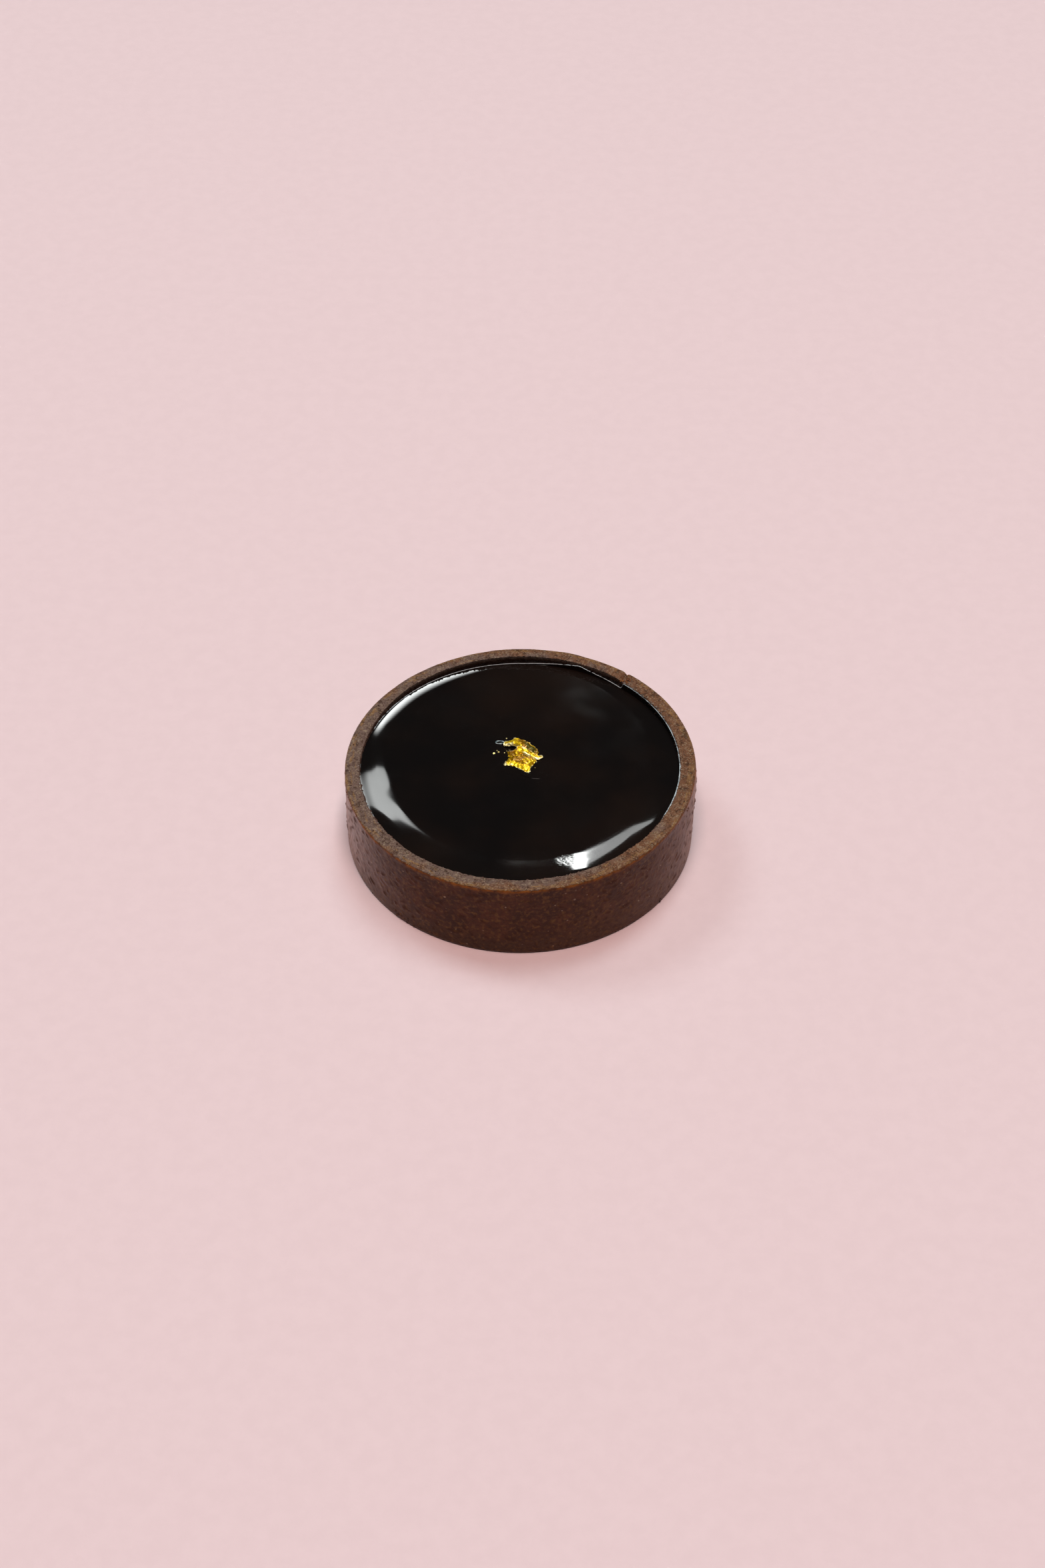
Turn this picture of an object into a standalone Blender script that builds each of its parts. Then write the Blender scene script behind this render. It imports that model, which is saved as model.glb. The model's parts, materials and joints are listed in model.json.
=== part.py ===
"""Chocolate tart: a round pastry case, its glazed chocolate filling and a crumpled gold leaf.

Metres, +Z up. The origin is the centre of the case's flat underside, +X is the side where
the rim stands a little higher, and the rim's seam is at the back right, between +X and +Y.
"""

import math

import bmesh
import bpy
from mathutils import Matrix, Vector

MM = 0.001

# Pastry case: a straight-sided shell, as baked in a perforated ring.
CASE_RADIUS = 40.0 * MM
CASE_HEIGHT = 20.0 * MM
WALL = 3.6 * MM
FLOOR = 3.6 * MM
RIM_OUTER_ROUND = 0.8 * MM
RIM_INNER_ROUND = 0.6 * MM
BASE_ROUND = 0.7 * MM
INNER_CORNER = 1.6 * MM
CASE_STEPS = 84
WALL_SPANS = 4

# Unevenness of the baked case: the rim's lean towards +X and -Y, and its slow waves.
RIM_LEAN_X = 0.62 * MM
RIM_LEAN_Y = -0.15 * MM
RIM_WAVES = ((0.10 * MM, 3, 40.0), (0.05 * MM, 5, 115.0))
SIDE_WAVES = ((0.10 * MM, 2, 25.0), (0.07 * MM, 3, 160.0))

# Seam of the pastry strip: a shallow V across the rim.
SEAM_ANGLE = 49.5
SEAM_SIDE = 0.65 * MM

# Filling: solid chocolate up to a level top that climbs a little at the wall.
FIT_GAP = 0.3 * MM
FILL_LEVEL = 18.2 * MM
EDGE_CLIMB = 0.6 * MM
CLIMB_WIDTH = 1.1 * MM
CLIMB_SPANS = 6

# Gold leaf: a torn, crumpled scrap lying on the filling.
LEAF_CENTRE = (0.6 * MM, 4.7 * MM)
LEAF_THICKNESS = 0.25 * MM
LEAF_STEPS = 28
LEAF_RINGS = 5
LEAF_CREASE = 0.45 * MM
# Its tips and notches: angle in degrees, distance from the leaf's centre.
LEAF_EDGE = (
    (0.0, 4.7 * MM),
    (35.0, 3.3 * MM),
    (75.0, 4.2 * MM),
    (110.0, 5.9 * MM),
    (142.0, 5.9 * MM),
    (180.0, 3.5 * MM),
    (215.0, 4.9 * MM),
    (250.0, 3.7 * MM),
    (286.0, 5.8 * MM),
    (325.0, 3.4 * MM),
)

SMOOTH_UNDER_DEGREES = 40.0


def clear_scene():
    """Remove every object the scene starts with."""
    for obj in list(bpy.data.objects):
        bpy.data.objects.remove(obj, do_unlink=True)


def make_collection(name):
    """Return a new collection linked to the scene."""
    collection = bpy.data.collections.new(name)
    bpy.context.scene.collection.children.link(collection)
    return collection


def make_material(name, colour, roughness, metallic=0.0):
    """Return a Principled material of one colour."""
    material = bpy.data.materials.new(name)
    material.use_nodes = True
    shader = material.node_tree.nodes["Principled BSDF"]
    shader.inputs["Base Color"].default_value = (*colour, 1.0)
    shader.inputs["Roughness"].default_value = roughness
    shader.inputs["Metallic"].default_value = metallic
    return material


def smoothstep(low, high, value):
    """Return 0 below low, 1 above high and an eased ramp between them."""
    share = min(max((value - low) / (high - low), 0.0), 1.0)
    return share * share * (3.0 - 2.0 * share)


def arc(centre_r, centre_z, radius, start, end, spans):
    """Return the points (r, z) of an arc; the angles are in degrees."""
    points = []
    for index in range(spans + 1):
        angle = math.radians(start + (end - start) * index / spans)
        points.append((centre_r + radius * math.cos(angle), centre_z + radius * math.sin(angle)))
    return points


def straight(start, end, spans):
    """Return the points that divide a straight run, without its two ends."""
    return [
        (
            start[0] + (end[0] - start[0]) * index / spans,
            start[1] + (end[1] - start[1]) * index / spans,
        )
        for index in range(1, spans)
    ]


def turned_mesh(name, profile, steps):
    """Turn an open profile of (r, z) points about Z with a Screw modifier and return the mesh."""
    line = bpy.data.meshes.new(name + "_profile")
    points = [(r, 0.0, z) for r, z in profile]
    edges = [(index, index + 1) for index in range(len(points) - 1)]
    line.from_pydata(points, edges, [])
    turning = bpy.data.objects.new(name + "_profile", line)
    bpy.context.scene.collection.objects.link(turning)

    screw = turning.modifiers.new("Turn", "SCREW")
    screw.axis = "Z"
    screw.angle = math.tau
    screw.steps = steps
    screw.render_steps = steps
    screw.use_merge_vertices = True
    screw.merge_threshold = 0.00001

    depsgraph = bpy.context.evaluated_depsgraph_get()
    mesh = bpy.data.meshes.new_from_object(turning.evaluated_get(depsgraph))
    mesh.name = name
    bpy.data.objects.remove(turning, do_unlink=True)
    bpy.data.meshes.remove(line)
    return mesh


def finish_mesh(mesh, material):
    """Point the faces outwards, shade the mesh smooth and give it its material."""
    shape = bmesh.new()
    shape.from_mesh(mesh)
    bmesh.ops.recalc_face_normals(shape, faces=shape.faces)
    shape.to_mesh(mesh)
    shape.free()
    mesh.materials.clear()
    mesh.materials.append(material)
    mesh.shade_smooth()
    mesh.set_sharp_from_angle(angle=math.radians(SMOOTH_UNDER_DEGREES))


def wave_sum(waves, angle):
    """Return the sum of cosine waves (height, count round the case, phase in degrees)."""
    return sum(
        height * math.cos(count * angle + math.radians(phase)) for height, count, phase in waves
    )


def case_profile():
    """Return the case's outline, from the middle of its floor over the rim to its underside."""
    inner = CASE_RADIUS - WALL
    corner = arc(inner - INNER_CORNER, FLOOR + INNER_CORNER, INNER_CORNER, -90.0, 0.0, 4)
    inner_rim = arc(
        inner + RIM_INNER_ROUND, CASE_HEIGHT - RIM_INNER_ROUND, RIM_INNER_ROUND, 180.0, 90.0, 3
    )
    outer_rim = arc(
        CASE_RADIUS - RIM_OUTER_ROUND, CASE_HEIGHT - RIM_OUTER_ROUND, RIM_OUTER_ROUND, 90.0, 0.0, 4
    )
    base = arc(CASE_RADIUS - BASE_ROUND, BASE_ROUND, BASE_ROUND, 0.0, -90.0, 3)
    return [
        (0.0, FLOOR),
        *corner,
        *straight(corner[-1], inner_rim[0], WALL_SPANS),
        *inner_rim,
        *outer_rim,
        *straight(outer_rim[-1], base[0], WALL_SPANS),
        *base,
        (0.0, 0.0),
    ]


def bake_unevenly(mesh):
    """Lean and wave the case's rim, and wave its outer side, leaving the base and floor true."""
    middle = CASE_RADIUS - 0.5 * WALL
    for vertex in mesh.vertices:
        place = vertex.co
        radius = math.hypot(place.x, place.y)
        if radius < 0.5 * CASE_RADIUS:
            continue
        angle = math.atan2(place.y, place.x)
        lean = RIM_LEAN_X * math.cos(angle) + RIM_LEAN_Y * math.sin(angle)
        lift = smoothstep(FLOOR, CASE_HEIGHT, place.z) * (lean + wave_sum(RIM_WAVES, angle))
        spread = smoothstep(middle, CASE_RADIUS, radius) * wave_sum(SIDE_WAVES, angle)
        scale = (radius + spread) / radius
        vertex.co = Vector((place.x * scale, place.y * scale, place.z + lift))


def add_seam(case, cutters):
    """Cut the seam's V across the rim with a square bar laid on its edge."""
    angle = math.radians(SEAM_ANGLE)
    lean = RIM_LEAN_X * math.cos(angle) + RIM_LEAN_Y * math.sin(angle)
    rim = CASE_HEIGHT + lean + wave_sum(RIM_WAVES, angle)
    reach = CASE_RADIUS - 0.5 * WALL
    bar = bmesh.new()
    bmesh.ops.create_cube(bar, size=1.0)
    bmesh.ops.scale(bar, vec=(2.0 * WALL, SEAM_SIDE, SEAM_SIDE), verts=bar.verts)
    on_edge = Matrix.Rotation(math.radians(45.0), 4, "X")
    bmesh.ops.transform(bar, matrix=on_edge, verts=bar.verts)
    mesh = bpy.data.meshes.new("seam_cutter")
    bar.to_mesh(mesh)
    bar.free()
    cutter = bpy.data.objects.new("seam_cutter", mesh)
    cutter.location = (reach * math.cos(angle), reach * math.sin(angle), rim)
    cutter.rotation_euler = (0.0, 0.0, angle)
    cutter.display_type = "WIRE"
    cutter.hide_render = True
    cutters.objects.link(cutter)
    cut = case.modifiers.new("Seam", "BOOLEAN")
    cut.operation = "DIFFERENCE"
    cut.solver = "EXACT"
    cut.object = cutter


def make_case(collection, cutters):
    """Build the pastry case."""
    mesh = turned_mesh("tart_shell", case_profile(), CASE_STEPS)
    bake_unevenly(mesh)
    finish_mesh(mesh, make_material("baked_crust", (0.085, 0.036, 0.022), 0.62))
    case = bpy.data.objects.new("tart_shell", mesh)
    collection.objects.link(case)
    add_seam(case, cutters)
    return case


def filling_profile():
    """Return the filling's outline, from the middle of its top to the middle of its underside."""
    edge = CASE_RADIUS - WALL - FIT_GAP
    bottom = FLOOR + FIT_GAP
    top = [(0.0, FILL_LEVEL), (0.55 * edge, FILL_LEVEL)]
    for index in range(CLIMB_SPANS + 1):
        inset = 3.0 * CLIMB_WIDTH * (1.0 - index / CLIMB_SPANS) ** 1.5
        climb = EDGE_CLIMB * math.exp(-inset / CLIMB_WIDTH)
        top.append((edge - inset, FILL_LEVEL + climb))
    corner = arc(edge - INNER_CORNER, bottom + INNER_CORNER, INNER_CORNER, 0.0, -90.0, 4)
    return [*top, *straight(top[-1], corner[0], 2), *corner, (0.0, bottom)]


def make_filling(collection):
    """Build the filling with its glazed top."""
    mesh = turned_mesh("chocolate_filling", filling_profile(), CASE_STEPS)
    finish_mesh(mesh, make_material("chocolate_glaze", (0.006, 0.0042, 0.0038), 0.06))
    filling = bpy.data.objects.new("chocolate_filling", mesh)
    collection.objects.link(filling)
    return filling


def leaf_reach(angle):
    """Return the leaf's outline at an angle in degrees, eased between its tips and notches."""
    angle = angle % 360.0
    closed = [*LEAF_EDGE, (LEAF_EDGE[0][0] + 360.0, LEAF_EDGE[0][1])]
    for (start, near), (end, far) in zip(closed, closed[1:]):
        if start <= angle <= end:
            return near + (far - near) * smoothstep(start, end, angle)
    return LEAF_EDGE[0][1]


def leaf_crease(x, y):
    """Return the crumpled leaf's height over its lowest plane, from crossing folds."""
    across = math.sin((x + 0.6 * y) / (1.15 * MM))
    along = math.sin((y - 0.5 * x) / (0.95 * MM) + 0.8)
    return LEAF_CREASE * (1.0 + 0.55 * across + 0.45 * along)


def make_leaf(collection):
    """Build the crumpled gold leaf that lies on the filling."""
    spokes = [(index / LEAF_RINGS, 0.0) for index in range(LEAF_RINGS + 1)]
    mesh = turned_mesh("gold_leaf", spokes, LEAF_STEPS)
    rest = FILL_LEVEL + FIT_GAP + 0.5 * LEAF_THICKNESS
    for vertex in mesh.vertices:
        share = math.hypot(vertex.co.x, vertex.co.y)
        angle = math.atan2(vertex.co.y, vertex.co.x)
        reach = share * leaf_reach(math.degrees(angle))
        x = reach * math.cos(angle)
        y = reach * math.sin(angle)
        vertex.co = Vector((LEAF_CENTRE[0] + x, LEAF_CENTRE[1] + y, rest + leaf_crease(x, y)))
    finish_mesh(mesh, make_material("gold", (0.80, 0.47, 0.13), 0.28, 1.0))
    leaf = bpy.data.objects.new("gold_leaf", mesh)
    collection.objects.link(leaf)
    thicken = leaf.modifiers.new("Thickness", "SOLIDIFY")
    thicken.thickness = LEAF_THICKNESS
    thicken.offset = 0.0
    return leaf


def main():
    """Build the tart."""
    clear_scene()
    tart = make_collection("chocolate_tart")
    cutters = make_collection("cutters")
    make_case(tart, cutters)
    make_filling(tart)
    make_leaf(tart)


main()
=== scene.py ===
"""Looks of a chocolate tart: a dark baked case, a poured mirror glaze and a scrap of gold leaf.

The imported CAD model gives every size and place. Each of its three nodes is replaced by a
detailed piece: the pastry case with the marks of its perforated ring, the glazed filling
that draws up at the wall, and the crumpled leaf. The film of glaze on the wall, the bubble
and the ripple in the glaze, the flecks of gold and the crumbs are pieces of their own. All
lengths are in metres where no other unit is named, with +Z up and the camera on the -Y
side.
"""

import json
import logging
import math
import random
from contextlib import contextmanager
from dataclasses import dataclass, field
from enum import Enum
from typing import Iterator, Sequence, Union

import bpy
import numpy as np
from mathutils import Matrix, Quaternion, Vector

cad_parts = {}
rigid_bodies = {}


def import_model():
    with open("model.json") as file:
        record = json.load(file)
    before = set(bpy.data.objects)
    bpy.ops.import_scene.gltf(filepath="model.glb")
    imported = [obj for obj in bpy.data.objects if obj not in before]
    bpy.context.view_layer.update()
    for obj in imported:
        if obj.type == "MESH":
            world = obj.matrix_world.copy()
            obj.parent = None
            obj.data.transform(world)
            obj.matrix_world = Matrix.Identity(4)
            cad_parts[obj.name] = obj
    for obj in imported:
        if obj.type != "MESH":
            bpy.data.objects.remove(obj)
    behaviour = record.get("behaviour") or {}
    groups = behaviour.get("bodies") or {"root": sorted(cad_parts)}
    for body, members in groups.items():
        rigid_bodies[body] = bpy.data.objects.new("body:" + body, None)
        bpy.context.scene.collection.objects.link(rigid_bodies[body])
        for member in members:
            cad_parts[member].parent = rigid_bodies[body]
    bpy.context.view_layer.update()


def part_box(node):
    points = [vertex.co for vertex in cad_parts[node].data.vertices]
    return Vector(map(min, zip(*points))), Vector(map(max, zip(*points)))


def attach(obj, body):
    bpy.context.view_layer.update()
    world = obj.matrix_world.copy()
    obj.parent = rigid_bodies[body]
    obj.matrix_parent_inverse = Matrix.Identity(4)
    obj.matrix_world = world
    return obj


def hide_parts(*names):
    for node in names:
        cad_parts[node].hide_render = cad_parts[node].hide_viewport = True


LOG = logging.getLogger("chocolate_tart")
MM = 0.001
NEAR = 0.01 * MM  # Lengths closer than this count as the same.

Places = np.ndarray
Mask = np.ndarray
Colour = tuple[float, float, float]


# --------------------------------------------------------------------------------------
# Working in edit mode
# --------------------------------------------------------------------------------------


class Element(Enum):
    """What an edit-mode operator takes as its selection."""

    VERTEX = 0
    EDGE = 1
    FACE = 2


def make_active(obj: bpy.types.Object) -> None:
    """Select one object alone and make it the active one."""
    for other in bpy.context.view_layer.objects:
        other.select_set(other == obj)
    bpy.context.view_layer.objects.active = obj


def take_new(name: str) -> bpy.types.Object:
    """Name the object that an operator has just made, and settle it.

    Args:
        name: The name for the object and its mesh.

    Returns:
        The object, with its origin at the world's, unturned and unscaled.
    """
    obj = bpy.context.active_object
    obj.name = name
    obj.data.name = name
    make_active(obj)
    bpy.ops.object.transform_apply(location=True, rotation=True, scale=True)
    return obj


def vertex_places(obj: bpy.types.Object) -> Places:
    """Return the mesh's vertices as rows of x, y and z."""
    places = np.empty(len(obj.data.vertices) * 3)
    obj.data.vertices.foreach_get("co", places)
    return places.reshape(-1, 3)


def edge_ends(obj: bpy.types.Object) -> tuple[Places, Places]:
    """Return the places of the mesh's edges' first and second ends."""
    ends = np.empty(len(obj.data.edges) * 2, dtype=np.int64)
    obj.data.edges.foreach_get("vertices", ends)
    places = vertex_places(obj)
    ends = ends.reshape(-1, 2)
    return places[ends[:, 0]], places[ends[:, 1]]


def face_centres(obj: bpy.types.Object) -> Places:
    """Return the middles of the mesh's faces as rows of x, y and z."""
    centres = np.empty(len(obj.data.polygons) * 3)
    obj.data.polygons.foreach_get("center", centres)
    return centres.reshape(-1, 3)


def radius_of(places: Places) -> np.ndarray:
    """Return each place's distance from the tart's upright axis."""
    return np.hypot(places[:, 0], places[:, 1])


def angle_of(places: Places) -> np.ndarray:
    """Return each place's angle round the tart, in degrees from +X towards +Y."""
    return np.degrees(np.arctan2(places[:, 1], places[:, 0]))


def smoothstep(low: float, high: float, value: np.ndarray) -> np.ndarray:
    """Return 0 below low, 1 above high and an eased ramp between them."""
    share = np.clip((value - low) / (high - low), 0.0, 1.0)
    return share * share * (3.0 - 2.0 * share)


def angle_gap(angle: np.ndarray, centre: float) -> np.ndarray:
    """Return how many degrees each angle is from a centre, from -180 to 180."""
    return (angle - centre + 180.0) % 360.0 - 180.0


def bell(value: np.ndarray, width: float) -> np.ndarray:
    """Return a bell curve of height 1 round zero."""
    return np.exp(-((value / width) ** 2))


def soft_minimum(first: np.ndarray, second: np.ndarray, blend: float) -> np.ndarray:
    """Return the lesser of two values, rounded over where they are close."""
    return -blend * np.logaddexp(-first / blend, -second / blend)


def all_of(elements: bpy.types.bpy_prop_collection) -> Mask:
    """Return a choice of every one of a mesh's elements."""
    return np.ones(len(elements), dtype=bool)


@contextmanager
def editing(obj: bpy.types.Object, element: Element, chosen: Mask) -> Iterator[None]:
    """Open a mesh in edit mode with some of its elements selected, and close it again.

    Args:
        obj: The object to edit.
        element: Whether vertices, edges or faces are chosen.
        chosen: One truth value for each of those elements.

    Yields:
        Nothing; operators called inside the block act on the selection.
    """
    make_active(obj)
    mesh = obj.data
    for kind, elements in (
        (Element.VERTEX, mesh.vertices),
        (Element.EDGE, mesh.edges),
        (Element.FACE, mesh.polygons),
    ):
        marks = chosen if kind is element else np.zeros(len(elements), dtype=bool)
        elements.foreach_set("select", marks)
    bpy.context.tool_settings.mesh_select_mode = [kind is element for kind in Element]
    bpy.ops.object.mode_set(mode="EDIT")
    try:
        yield
    finally:
        bpy.ops.object.mode_set(mode="OBJECT")


def apply_modifier(obj: bpy.types.Object, modifier: bpy.types.Modifier) -> None:
    """Apply one modifier to an object's mesh."""
    make_active(obj)
    bpy.ops.object.modifier_apply(modifier=modifier.name)


def weigh(obj: bpy.types.Object, name: str, weights: np.ndarray) -> str:
    """Give the mesh a vertex group.

    Args:
        obj: The object to weigh.
        name: The group's name.
        weights: A weight from 0 to 1 for each vertex.

    Returns:
        The group's name.
    """
    group = obj.vertex_groups.new(name=name)
    for index in np.flatnonzero(weights > 0.001):
        group.add([int(index)], float(weights[index]), "REPLACE")
    return group.name


def keep_attribute(obj: bpy.types.Object, name: str, values: np.ndarray) -> None:
    """Store one number for each vertex, for a material to read."""
    attribute = obj.data.attributes.new(name, "FLOAT", "POINT")
    attribute.data.foreach_set("value", values.astype(np.float32))


def read_attribute(obj: bpy.types.Object, name: str) -> np.ndarray:
    """Return the numbers stored for the vertices under a name."""
    values = np.empty(len(obj.data.vertices), dtype=np.float32)
    obj.data.attributes[name].data.foreach_get("value", values)
    return values


@dataclass(frozen=True)
class Relief:
    """One layer of unevenness that is pushed into a mesh.

    Attributes:
        name: What the layer is.
        size: The size of its lumps.
        height: The distance from its lowest to its highest point.
        basis: Blender's name for the kind of noise.
        detail: How many finer layers the noise adds to itself.
        direction: The way the surface moves, along its normal or one axis.
        middle: The noise value that leaves the surface where it is.
    """

    name: str
    size: float
    height: float
    basis: str = "BLENDER_ORIGINAL"
    detail: int = 2
    direction: str = "NORMAL"
    middle: float = 0.5

    def push_into(self, obj: bpy.types.Object, group: str = "") -> None:
        """Displace the mesh by this layer.

        Args:
            obj: The object whose mesh is displaced.
            group: The vertex group that limits the layer, or nothing for the whole mesh.
        """
        texture = bpy.data.textures.new(self.name, "CLOUDS")
        texture.noise_scale = self.size
        texture.noise_basis = self.basis
        texture.noise_depth = self.detail
        texture.noise_type = "SOFT_NOISE"
        displace = obj.modifiers.new(self.name, "DISPLACE")
        displace.texture = texture
        displace.texture_coords = "LOCAL"
        displace.strength = self.height
        displace.mid_level = self.middle
        displace.direction = self.direction
        displace.vertex_group = group
        apply_modifier(obj, displace)


def push_by_group(obj: bpy.types.Object, group: str, height: float, direction: str) -> None:
    """Move a mesh along one direction, as far as a vertex group says.

    Args:
        obj: The object whose mesh is moved.
        group: The vertex group with the share of the move.
        height: The move at full weight.
        direction: NORMAL, X, Y or Z.
    """
    displace = obj.modifiers.new(group, "DISPLACE")
    displace.strength = height
    displace.mid_level = 0.0
    displace.direction = direction
    displace.vertex_group = group
    apply_modifier(obj, displace)


def push(obj: bpy.types.Object, name: str, moves: np.ndarray, direction: str) -> None:
    """Move each vertex of a mesh along one direction.

    Args:
        obj: The object whose mesh is moved.
        name: The name of the vertex group that keeps each vertex's share.
        moves: How far each vertex moves, all of them the same way.
        direction: NORMAL, X, Y or Z.
    """
    farthest = float(moves[np.argmax(np.abs(moves))])
    push_by_group(obj, weigh(obj, name, moves / farthest), farthest, direction)


def join_into(pieces: Sequence[bpy.types.Object], name: str) -> bpy.types.Object:
    """Join several objects into one piece.

    Args:
        pieces: The objects.
        name: The piece's name.

    Returns:
        The piece.
    """
    make_active(pieces[0])
    for piece in pieces:
        piece.select_set(True)
    bpy.ops.object.join()
    return take_new(name)


def shade_smooth(obj: bpy.types.Object) -> None:
    """Shade every face of the mesh smooth."""
    make_active(obj)
    bpy.ops.object.shade_smooth()


def face_outwards(obj: bpy.types.Object) -> None:
    """Point all of a closed mesh's faces outwards."""
    with editing(obj, Element.FACE, all_of(obj.data.polygons)):
        bpy.ops.mesh.normals_make_consistent(inside=False)


# --------------------------------------------------------------------------------------
# Sizes taken from the frame
# --------------------------------------------------------------------------------------


@dataclass(frozen=True)
class TartSizes:
    """The tart's driving sizes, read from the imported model.

    Attributes:
        radius: Of the case's outer side.
        height: Of the rim, at its mean.
        wall: The case's thickness.
        floor: The height of the case's floor.
        level: The height of the glaze away from the wall.
        leaf_low: The leaf's lowest corner.
        leaf_high: The leaf's highest corner.
        RIM_RISE: How far the rim's highest point stands above its mean.
        EDGE_CLIMB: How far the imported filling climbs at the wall.
        FIT_GAP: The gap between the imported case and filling.
        SETTLING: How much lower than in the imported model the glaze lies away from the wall.
        LEAN_X: How much higher than its mean the rim is at +X.
        LEAN_Y: The same at +Y.
    """

    radius: float
    height: float
    wall: float
    floor: float
    level: float
    leaf_low: Vector
    leaf_high: Vector

    RIM_RISE = 0.78 * MM
    EDGE_CLIMB = 0.6 * MM
    FIT_GAP = 0.3 * MM
    SETTLING = 0.25 * MM
    LEAN_X = 0.62 * MM
    LEAN_Y = -0.15 * MM

    @property
    def inner(self) -> float:
        """Return the radius of the case's inner wall."""
        return self.radius - self.wall

    def rim_at(self, places: Places) -> np.ndarray:
        """Return the height of the leaning rim's plane over each place."""
        lean = places[:, 0] * self.LEAN_X + places[:, 1] * self.LEAN_Y
        return self.height + lean / self.radius

    @classmethod
    def from_frame(cls) -> "TartSizes":
        """Measure the three CAD nodes and return the sizes."""
        case_low, case_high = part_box("tart_shell")
        fill_low, fill_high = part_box("chocolate_filling")
        leaf_low, leaf_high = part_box("gold_leaf")
        across = case_high - case_low
        radius = (across.x + across.y) / 4.0
        return cls(
            radius=radius,
            height=case_high.z - cls.RIM_RISE,
            wall=radius - fill_high.x - cls.FIT_GAP,
            floor=fill_low.z - cls.FIT_GAP,
            level=fill_high.z - cls.EDGE_CLIMB - cls.SETTLING,
            leaf_low=leaf_low,
            leaf_high=leaf_high,
        )


# --------------------------------------------------------------------------------------
# Shader nodes
# --------------------------------------------------------------------------------------

Socket = bpy.types.NodeSocket
Feed = Union[bpy.types.NodeSocket, float, Sequence[float]]


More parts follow.
